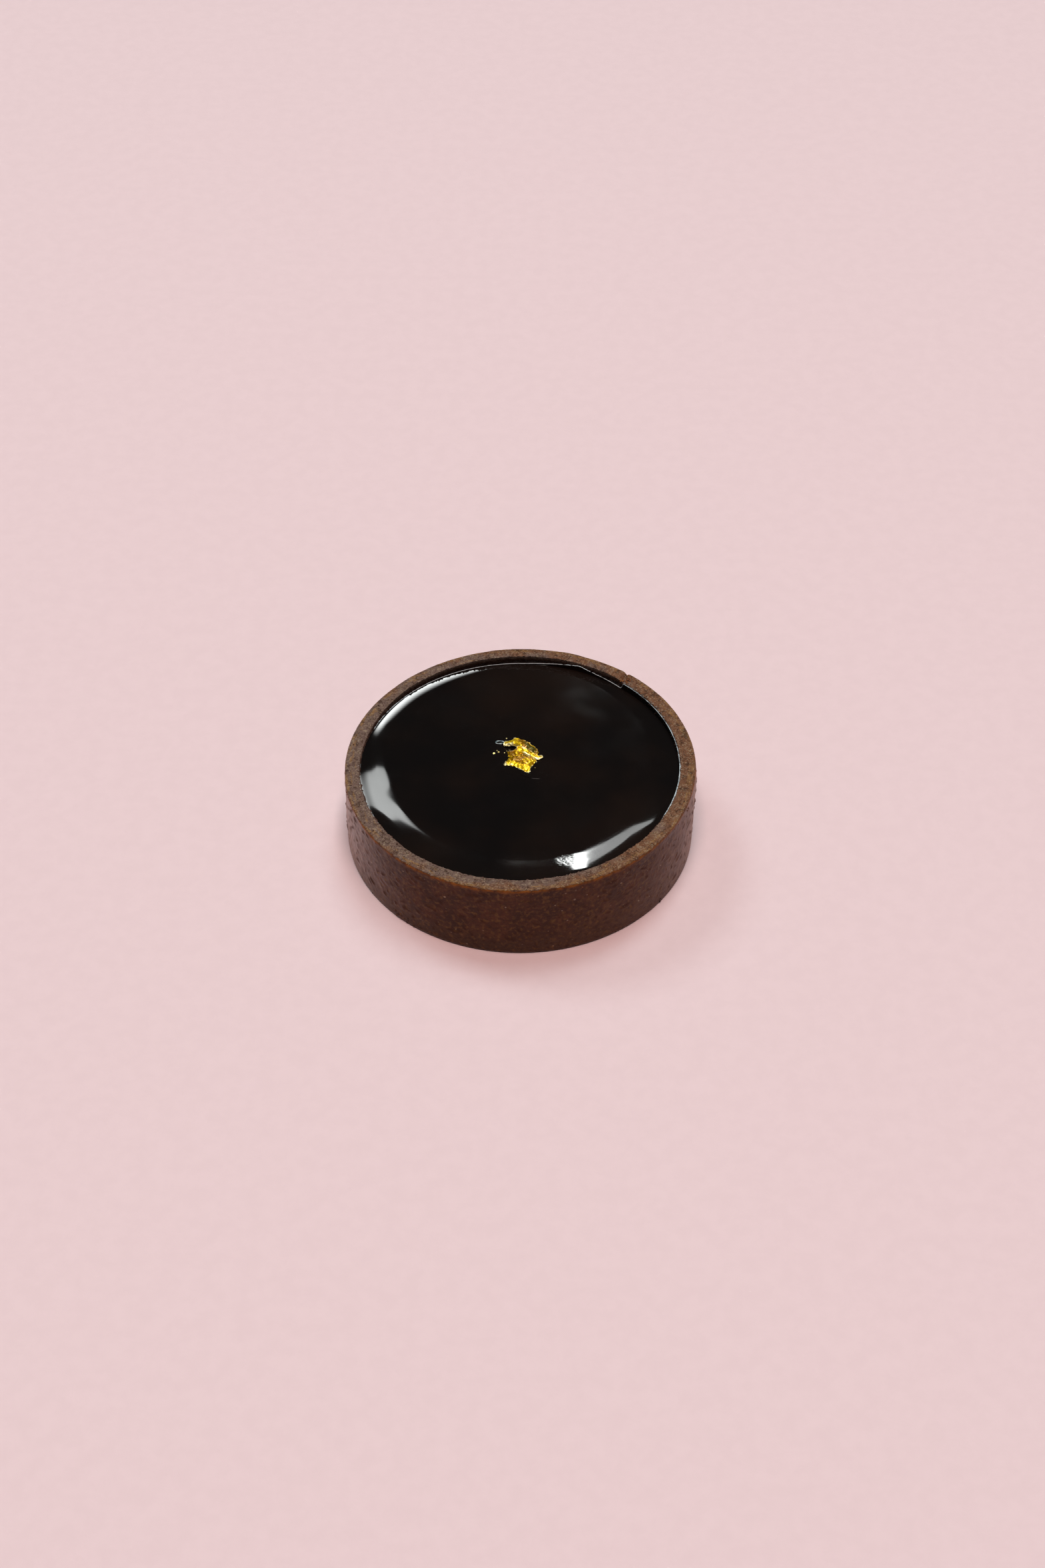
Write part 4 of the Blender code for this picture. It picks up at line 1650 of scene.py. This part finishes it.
@dataclass
class GoldLeaf:
    """The crumpled scrap of gold leaf on the glaze.

    Attributes:
        sizes: The tart's driving sizes.
        sheets: The sheets that it consists of.
        middle: The point of the sheets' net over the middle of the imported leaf, in
            millimetres.
    """

    sizes: TartSizes
    middle: tuple[float, float] = (0.5, 4.7)
    sheets: Sequence[LeafSheet] = (
        LeafSheet("leaf_tent", TENT_NET),
        LeafSheet("leaf_pleats", PLEATS_NET, folds=0.2 * MM, ragged=0.45 * MM),
        LeafSheet("leaf_curl", CURL_NET, folds=0.15 * MM, ragged=0.35 * MM),
        LeafSheet("leaf_link", LINK_NET, folds=0.25 * MM, ragged=0.4 * MM),
        LeafSheet("leaf_tongue", TONGUE_NET, folds=0.26 * MM, creases=0.12 * MM, ragged=0.5 * MM),
    )

    def base(self) -> Vector:
        """Return the place of the net's origin, at the glaze."""
        low, high = self.sizes.leaf_low, self.sizes.leaf_high
        base = 0.5 * (low + high) - MM * Vector((*self.middle, 0.0))
        base.z = self.sizes.level + 0.03 * MM
        return base

    def build(self) -> bpy.types.Object:
        """Lay the sheets and join them into one scrap."""
        pieces = [sheet.build(self.base()) for sheet in self.sheets]
        leaf = join_into(pieces, "crumpled_leaf")
        make_active(leaf)
        bpy.ops.object.shade_smooth_by_angle(angle=math.radians(50.0))
        return leaf


@dataclass
class GoldFlecks:
    """Tiny loose flecks of the leaf on the glaze beside it.

    Attributes:
        leaf: The leaf that they come from.
        flecks: Each one's place in the leaf's net and its width, in millimetres.
        height: How far two of a fleck's corners stand above the other two, in millimetres.
        tone: Of the flecks' painted light, as in the leaf's nets.
    """

    leaf: GoldLeaf
    flecks: Sequence[tuple[float, float, float]] = (
        (-6.0, 5.5, 0.55), (-4.95, 5.95, 0.42), (-5.3, 6.45, 0.22), (-3.1, 10.5, 0.26),
        (2.6, 1.2, 0.32), (3.7, 2.7, 0.32), (3.4, 0.7, 0.22), (-3.6, 5.6, 0.24),
    )
    height: float = 0.12
    # Painted light: a tone between bright yellow and the pale painted highlight.
    tone: float = 1.3

    def build(self) -> bpy.types.Object:
        """Model the flecks as one piece."""
        base, height, tone = self.leaf.base(), self.height, self.tone
        pieces = []
        for number, (across, along, width) in enumerate(self.flecks):
            rows = tuple(
                tuple(
                    (across + width * i, along + width * j, height * (0.5 - 2.0 * i * j), tone)
                    for i in (-0.5, 0.0, 0.5)
                )
                for j in (0.5, 0.0, -0.5)
            )
            fleck = LeafSheet(f"fleck_{number}", rows, 0.1 * MM, ragged=0.15 * MM, levels=2)
            pieces.append(fleck.build(base))
        flecks = join_into(pieces, "gold_flecks")
        shade_smooth(flecks)
        return flecks


@dataclass
class GlazeBubble:
    """The small open bubble in the glaze at the leaf's back corner.

    Attributes:
        leaf: The leaf that it lies beside.
        place: Its middle in the leaf's net, in millimetres.
        half_length: Half of its length.
        half_width: Half of its width.
        lip: Radius of its rounded lip.
    """

    leaf: GoldLeaf
    place: tuple[float, float] = (-4.7, 9.2)
    half_length: float = 0.95 * MM
    half_width: float = 0.48 * MM
    lip: float = 0.16 * MM

    def build(self) -> bpy.types.Object:
        """Model the bubble's lip."""
        base = self.leaf.base()
        middle = base + MM * Vector((*self.place, 0.0))
        bpy.ops.mesh.primitive_torus_add(
            location=middle,
            major_segments=64,
            minor_segments=16,
            major_radius=self.half_length,
            minor_radius=self.lip,
        )
        bubble = take_new("glaze_bubble")
        with editing(bubble, Element.VERTEX, all_of(bubble.data.vertices)):
            bpy.ops.transform.resize(
                value=(1.0, self.half_width / self.half_length, 1.0), center_override=tuple(middle)
            )
        Relief("lip", 0.7 * MM, 0.12 * MM, detail=0).push_into(bubble)
        shade_smooth(bubble)
        return bubble


@dataclass
class GlazeRipple:
    """The fine curved ripple in the glaze in front of the leaf.

    Attributes:
        sizes: The tart's driving sizes.
        middle: The middle of its curve, in millimetres.
        reach: Its curve's radius.
        first: The angle at which it starts, round that middle.
        last: The angle at which it ends.
        thickness: Of the ripple.
    """

    sizes: TartSizes
    middle: tuple[float, float] = (4.3, 4.2)
    reach: float = 7.0 * MM
    first: float = -128.0
    last: float = -88.0
    thickness: float = 0.14 * MM

    def build(self) -> bpy.types.Object:
        """Model the ripple, half sunk in the glaze."""
        middle = Vector((self.middle[0] * MM, self.middle[1] * MM, self.sizes.level))
        bpy.ops.mesh.primitive_torus_add(
            location=middle,
            major_segments=300,
            minor_segments=8,
            major_radius=self.reach,
            minor_radius=0.5 * self.thickness,
        )
        ripple = take_new("glaze_ripple")
        angle = angle_of(face_centres(ripple) - np.array(middle)) % 360.0
        beyond = (angle < self.first % 360.0) | (angle > self.last % 360.0)
        with editing(ripple, Element.FACE, beyond):
            bpy.ops.mesh.delete(type="FACE")
        with editing(ripple, Element.VERTEX, all_of(ripple.data.vertices)):
            bpy.ops.mesh.fill_holes(sides=0)
        shade_smooth(ripple)
        return ripple


# --------------------------------------------------------------------------------------
# Crumbs and specks
# --------------------------------------------------------------------------------------


@dataclass(frozen=True)
class Cluster:
    """A place on the case where bits gather.

    Attributes:
        count: How many bits.
        angles: The first and last angle round the tart, in degrees.
        inset: The nearest and farthest distance in from the outer side, in millimetres.
        high: The lowest and highest height, in millimetres.
        width: The smallest and largest width of a bit, in millimetres.
    """

    count: int
    angles: tuple[float, float]
    inset: tuple[float, float]
    high: tuple[float, float]
    width: tuple[float, float]


DARK_CLUSTERS = (
    Cluster(14, (-137.0, -124.0), (-0.1, 0.1), (0.1, 2.2), (0.25, 0.6)),
    Cluster(5, (-58.0, -52.0), (-0.1, 0.1), (0.1, 1.2), (0.2, 0.45)),
    Cluster(5, (-43.0, -37.0), (-0.1, 0.1), (0.1, 1.4), (0.2, 0.45)),
    Cluster(46, (-180.0, 180.0), (-0.1, 0.1), (0.1, 1.0), (0.15, 0.32)),
    Cluster(26, (-180.0, 180.0), (0.6, 3.2), (19.9, 20.0), (0.2, 0.45)),
)

ORANGE_CLUSTERS = (
    Cluster(46, (46.6, 50.6), (1.6, 3.6), (20.0, 20.6), (0.25, 0.6)),
    Cluster(16, (47.5, 52.0), (0.4, 2.0), (20.0, 20.6), (0.2, 0.4)),
    Cluster(40, (-170.0, 0.0), (-0.1, 0.1), (18.6, 19.4), (0.15, 0.4)),
    Cluster(6, (-135.0, -126.0), (-0.1, 0.1), (0.3, 2.0), (0.2, 0.5)),
)

TAN_CLUSTERS = (
    Cluster(18, (-64.0, -28.0), (-0.1, 0.1), (2.5, 18.0), (0.25, 0.65)),
    Cluster(14, (-180.0, -64.0), (-0.1, 0.1), (2.5, 18.0), (0.2, 0.5)),
    Cluster(18, (-28.0, 180.0), (-0.1, 0.1), (2.5, 18.0), (0.2, 0.5)),
)

# Pale grains along the rim's inner edge: partly real crumbs, partly painted glints where the glaze
# meets the wall.
PALE_GRAIN_AND_GLINT_CLUSTERS = (
    Cluster(24, (180.0, 216.0), (3.3, 3.6), (19.6, 19.9), (0.15, 0.36)),
    Cluster(70, (-26.0, 47.0), (3.2, 3.5), (20.4, 20.7), (0.10, 0.24)),
    Cluster(20, (216.0, 334.0), (3.3, 3.6), (19.6, 20.2), (0.10, 0.20)),
)


@dataclass
class Crumbs:
    """Bits of one kind that cling to the pastry.

    Attributes:
        name: The piece's name.
        sizes: The tart's driving sizes.
        case: The case that they cling to.
        clusters: Where they gather.
        flatness: Their thickness as a share of their width.
        seed: Of the random draws.
    """

    name: str
    sizes: TartSizes
    case: bpy.types.Object
    clusters: Sequence[Cluster]
    flatness: float = 0.75
    seed: int = 4

    def build(self) -> bpy.types.Object:
        """Set copies of one bit on the case and join them."""
        draw = random.Random(self.seed)
        bit = self.model_bit()
        bits = [
            self.set_copy(bit, cluster, draw)
            for cluster in self.clusters
            for _number in range(cluster.count)
        ]
        bpy.data.objects.remove(bit)
        return join_into(bits, self.name)

    def model_bit(self) -> bpy.types.Object:
        """Model one rough bit, 1 mm wide."""
        bpy.ops.mesh.primitive_uv_sphere_add(segments=9, ring_count=6, radius=0.5 * MM)
        bit = take_new("bit")
        Relief("bit_lumps", 0.45 * MM, 0.5 * MM, detail=1).push_into(bit)
        shade_smooth(bit)
        return bit

    def set_copy(
        self, bit: bpy.types.Object, cluster: Cluster, draw: random.Random
    ) -> bpy.types.Object:
        """Set one copy of the bit on the pastry.

        Args:
            bit: The bit to copy.
            cluster: Where it goes.
            draw: The source of random numbers.

        Returns:
            The copy.
        """
        angle = math.radians(draw.uniform(*cluster.angles))
        reach = self.sizes.radius - draw.uniform(*cluster.inset) * MM
        height = draw.uniform(*cluster.high) * MM
        aim = Vector((reach * math.cos(angle), reach * math.sin(angle), height))
        _found, place, normal, _face = self.case.closest_point_on_mesh(aim)
        low, high = cluster.width
        width = low + (high - low) * draw.random() ** 2
        copy = bit.copy()
        copy.data = bit.data.copy()
        bpy.context.scene.collection.objects.link(copy)
        thickness = width * self.flatness
        copy.scale = (width * draw.uniform(0.8, 1.2), width * draw.uniform(0.6, 1.0), thickness)
        turn = Quaternion((0.0, 0.0, 1.0), draw.uniform(0.0, math.tau))
        copy.rotation_euler = (normal.to_track_quat("Z", "Y") @ turn).to_euler()
        copy.location = place + 0.1 * thickness * MM * normal
        return copy


# --------------------------------------------------------------------------------------
# Studio
# --------------------------------------------------------------------------------------


def toward(azimuth: float, elevation: float) -> Vector:
    """Return the way from the tart to a light.

    Args:
        azimuth: From +Y towards +X, in degrees.
        elevation: Above the floor, in degrees.

    Returns:
        A vector of length 1.
    """
    turn, rise = math.radians(azimuth), math.radians(elevation)
    level = math.cos(rise)
    return Vector((level * math.sin(turn), level * math.cos(turn), math.sin(rise)))


@dataclass(frozen=True)
class Panel:
    """A soft light panel that faces the tart.

    Attributes:
        name: The light's name.
        way: The way to it from the tart.
        distance: How far away it hangs.
        size: Its width and its height.
        power: In watts.
        colour: Of its light.
        mirrored: Whether glossy surfaces mirror it.
    """

    name: str
    way: Vector
    distance: float
    size: tuple[float, float]
    power: float
    colour: Colour
    mirrored: bool = False

    def hang(self) -> bpy.types.Object:
        """Make the light, out of the camera's sight, and turn it to the tart."""
        light = bpy.data.lights.new(self.name, "AREA")
        light.shape = "RECTANGLE"
        light.size, light.size_y = self.size
        light.energy = self.power
        light.color = self.colour
        lamp = bpy.data.objects.new(self.name, light)
        lamp.location = self.distance * self.way
        lamp.rotation_euler = (-self.way).to_track_quat("-Z", "Y").to_euler()
        lamp.visible_camera = False
        lamp.visible_glossy = self.mirrored
        bpy.context.scene.collection.objects.link(lamp)
        return lamp


@dataclass(frozen=True)
class LightCard:
    """A glowing curved card that the glaze mirrors.

    Attributes:
        name: The card's name.
        low: Points along its lower edge, each the azimuth from +Y towards +X and the
            elevation at which the tart sees it, in degrees.
        high: As many points along its upper edge.
        glow: Its brightness.
        fades: The shares of it that fade out at its start, end, lower and upper edges.
        colour: Of its light.
        distance: From the tart to the card.
        CUTS: The card's divisions each way.
    """

    name: str
    low: Sequence[tuple[float, float]]
    high: Sequence[tuple[float, float]]
    glow: float
    fades: tuple[float, float, float, float] = (0.1, 0.1, 0.1, 0.1)
    colour: Colour = (0.97, 1.0, 0.99)
    distance: float = 5.0

    CUTS = 24

    def hang(self) -> bpy.types.Object:
        """Make the card, out of the camera's sight, and light it."""
        bpy.ops.mesh.primitive_grid_add(
            x_subdivisions=self.CUTS, y_subdivisions=self.CUTS, size=1.0
        )
        card = take_new(self.name)
        for vertex in card.data.vertices:
            along, up = vertex.co.x + 0.5, vertex.co.y + 0.5
            vertex.co = self.place(self.low, along).lerp(self.place(self.high, along), up)
        card.data.materials.append(self.material())
        card.visible_camera = False
        card.visible_diffuse = False
        return card

    def place(self, edge: Sequence[tuple[float, float]], along: float) -> Vector:
        """Return the place that is a share of the way along one edge.

        Args:
            edge: The edge's directions.
            along: The share, from 0 to 1.

        Returns:
            The place in the studio.
        """
        steps = np.linspace(0.0, 1.0, len(edge))
        azimuth, elevation = (float(np.interp(along, steps, angles)) for angles in zip(*edge))
        return self.distance * toward(azimuth, elevation)

    def material(self) -> bpy.types.Material:
        """Return the glow, faded towards the card's edges."""
        material, bench, shader = start_material(self.name, {})
        material.node_tree.nodes.remove(shader)
        place = bench.axes(bench.node("ShaderNodeUVMap", {}).outputs["UV"])
        start, end, low, high = self.fades
        strength = bench.product(
            self.glow,
            bench.ramp(place["X"], 0.0, start),
            bench.ramp(place["X"], 1.0, 1.0 - end),
            bench.ramp(place["Y"], 0.0, low),
            bench.ramp(place["Y"], 1.0, 1.0 - high),
        )
        glow = bench.node("ShaderNodeEmission", {"Color": self.colour, "Strength": strength})
        surface = material.node_tree.nodes["Material Output"].inputs["Surface"]
        bench.feed(surface, glow.outputs["Emission"])
        return material


@dataclass
class Studio:
    """The pale floor, the soft lights and the camera.

    Attributes:
        sizes: The tart's driving sizes.
        floor_colour: Of the pale paper that the tart stands on.
        elevation: Of the camera above the floor, in degrees.
        distance: From the camera to the middle of the tart's base.
        aim: The point on the floor that the camera faces.
        lens: Focal length in millimetres, on a sensor 36 mm long.
        warm: The colour of the light from above.
        cool: The colour of the light from behind.
    """

    sizes: TartSizes
    floor_colour: Colour = (0.80, 0.597, 0.591)
    elevation: float = 45.2
    distance: float = 0.600
    aim: Vector = field(default_factory=lambda: Vector((0.0006, 0.0139, 0.0)))
    lens: float = 59.1
    warm: Colour = (1.0, 0.825, 0.775)
    cool: Colour = (0.68, 0.93, 0.98)

    def build(self) -> None:
        """Lay the floor, hang the lights and set the camera."""
        self.lay_floor()
        self.hang_lights()
        self.set_world()
        self.set_camera()

    def lay_floor(self) -> None:
        """Lay the pale floor."""
        bpy.ops.mesh.primitive_plane_add(size=6.0, location=(0.0, 0.0, 0.0))
        floor = take_new("paper_floor")
        floor.data.materials.append(PaperFinish().make())

    def hang_lights(self) -> None:
        """Hang the cards that the glaze mirrors, and the soft light over all."""
        for panel in (
            Panel("key_panel", toward(180.0, 80.0), 4.0, (1.5, 1.6), 110.0, self.warm, True),
            Panel("sky_panel", toward(-45.0, 50.0), 4.0, (1.2, 1.2), 36.0, self.cool),
            Panel("high_panel", toward(20.0, 76.0), 4.0, (1.0, 1.0), 35.0, self.cool),
            Panel("back_panel", toward(25.0, 64.0), 4.0, (1.0, 1.0), 25.0, self.cool),
        ):
            panel.hang()
        for card in (
            LightCard(
                "high_card",
                low=(
                    (10.8, 44.8), (6.4, 47.3), (3.6, 47.6), (3.2, 48.5), (2.7, 49.0), (2.6, 49.4),
                    (2.5, 51.3), (1.9, 52.6), (1.0, 55.8),
                ),
                high=(
                    (17.0, 44.9), (14.2, 49.4), (12.8, 52.3), (13.4, 55.6), (11.7, 57.6),
                    (9.6, 58.9), (6.4, 60.3), (3.9, 60.9), (1.2, 61.6),
                ),
                glow=24.0,
                fades=(0.12, 0.10, 0.9, 0.05),
            ),
            LightCard(
                "right_card",
                low=(
                    (1.3, 41.0), (2.3, 40.4), (3.8, 39.5), (5.3, 38.6), (7.7, 36.3), (9.8, 35.9),
                    (15.0, 34.3),
                ),
                high=(
                    (1.4, 41.5), (2.0, 41.8), (2.9, 41.9), (4.2, 41.7), (7.4, 41.0), (11.0, 39.3),
                    (16.8, 36.9),
                ),
                glow=7.6,
                fades=(0.30, 0.14, 0.05, 0.10),
            ),
            LightCard(
                "strip_card",
                low=((-1.2, 39.2), (-1.8, 38.0), (-3.3, 33.0), (-4.3, 26.5)),
                high=((-0.5, 40.2), (-0.9, 38.0), (-1.9, 33.5), (-3.1, 27.5)),
                glow=34.0,
                fades=(0.10, 0.05, 0.02, 0.25),
            ),
            LightCard(
                "left_card",
                low=((-4.1, 28.3), (-4.9, 32.0), (-5.6, 35.0), (-7.6, 34.6), (-10.2, 33.8)),
                high=((-1.2, 39.4), (-2.6, 39.4), (-4.2, 38.6), (-7.2, 36.6), (-10.4, 34.5)),
                glow=4.5,
                fades=(0.02, 0.1, 0.12, 0.08),
                distance=5.1,
            ),
        ):
            card.hang()

    def set_world(self) -> None:
        """Give the camera a pale surround and everything else a dim one."""
        world = bpy.data.worlds.new("studio")
        bpy.context.scene.world = world
        world.use_nodes = True
        tree = world.node_tree
        dim = tree.nodes["Background"]
        dim.inputs["Color"].default_value = (0.012, 0.012, 0.013, 1.0)
        pale = tree.nodes.new("ShaderNodeBackground")
        pale.inputs["Color"].default_value = (*self.floor_colour, 1.0)
        path = tree.nodes.new("ShaderNodeLightPath")
        mix = tree.nodes.new("ShaderNodeMixShader")
        tree.links.new(path.outputs["Is Camera Ray"], mix.inputs["Fac"])
        tree.links.new(dim.outputs["Background"], mix.inputs[1])
        tree.links.new(pale.outputs["Background"], mix.inputs[2])
        tree.links.new(mix.outputs["Shader"], tree.nodes["World Output"].inputs["Surface"])
        bpy.context.scene.view_settings.view_transform = "Standard"

    def set_camera(self) -> None:
        """Set the camera in front of the tart, looking down on it."""
        rise = math.radians(self.elevation)
        camera = bpy.data.cameras.new("camera")
        camera.lens = self.lens
        camera.sensor_width = 36.0
        camera.clip_start = 0.01
        camera.clip_end = 50.0
        view = bpy.data.objects.new("camera", camera)
        view.location = self.distance * Vector((0.0, -math.cos(rise), math.sin(rise)))
        view.rotation_euler = (self.aim - view.location).to_track_quat("-Z", "Y").to_euler()
        bpy.context.scene.collection.objects.link(view)
        bpy.context.scene.camera = view


def main() -> None:
    """Build the tart's pieces around the CAD frame."""
    logging.basicConfig(level=logging.INFO, format="%(name)s: %(message)s")
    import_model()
    sizes = TartSizes.from_frame()
    LOG.info("sizes %s", sizes)
    case = PastryCase(sizes).build()
    LOG.info("case has %d faces", len(case.data.polygons))
    case.data.materials.append(CrustFinish(sizes).make())
    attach(case, "root")
    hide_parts("tart_shell")
    filling = GlazedFilling(sizes).build()
    LOG.info("filling has %d faces", len(filling.data.polygons))
    glaze = GlazeFinish(sizes).make()
    filling.data.materials.append(glaze)
    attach(filling, "root")
    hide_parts("chocolate_filling")
    leaf = GoldLeaf(sizes)
    scrap = leaf.build()
    LOG.info("leaf has %d faces", len(scrap.data.polygons))
    flecks = GoldFlecks(leaf).build()
    LOG.info("flecks have %d faces", len(flecks.data.polygons))
    gold = GoldFinish().make()
    for piece in (scrap, flecks):
        piece.data.materials.append(gold)
        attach(piece, "root")
    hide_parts("gold_leaf")
    bubble = GlazeBubble(leaf).build()
    LOG.info("bubble has %d faces", len(bubble.data.polygons))
    # Painted highlight: the bubble's lip is coloured pale bluish white over teal, for its glint.
    bubble.data.materials.append(
        CrumbFinish("bubble_painted_highlight", (0.62, 0.72, 0.74), (0.10, 0.16, 0.17), 0.15).make()
    )
    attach(bubble, "root")
    for piece in (WallFilm(sizes).build(), GlazeRipple(sizes).build()):
        LOG.info("%s has %d faces", piece.name, len(piece.data.polygons))
        piece.data.materials.append(glaze)
        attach(piece, "root")
    for crumbs, finish in (
        (
            Crumbs("dark_crumbs", sizes, case, DARK_CLUSTERS, seed=4),
            CrumbFinish("dark_crumb", (0.040, 0.016, 0.009), (0.085, 0.034, 0.017), 0.8),
        ),
        (
            Crumbs("orange_crumbs", sizes, case, ORANGE_CLUSTERS, seed=7),
            CrumbFinish("orange_crumb", (0.110, 0.032, 0.009), (0.250, 0.088, 0.024), 0.8),
        ),
        (
            Crumbs("tan_specks", sizes, case, TAN_CLUSTERS, flatness=0.30, seed=11),
            CrumbFinish("tan_speck", (0.140, 0.075, 0.045), (0.300, 0.200, 0.135), 0.8),
        ),
        (
            # Pale grains: partly real crumbs, partly painted glints along the glaze's edge at the
            # wall.
            Crumbs("pale_grains_and_glints", sizes, case, PALE_GRAIN_AND_GLINT_CLUSTERS, flatness=0.6, seed=15),
            CrumbFinish("pale_grain_and_glint", (0.200, 0.200, 0.200), (0.520, 0.480, 0.420), 0.6),
        ),
    ):
        bits = crumbs.build()
        LOG.info("%s have %d faces", bits.name, len(bits.data.polygons))
        bits.data.materials.append(finish.make())
        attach(bits, "root")
    Studio(sizes).build()


if __name__ == "__main__":
    main()
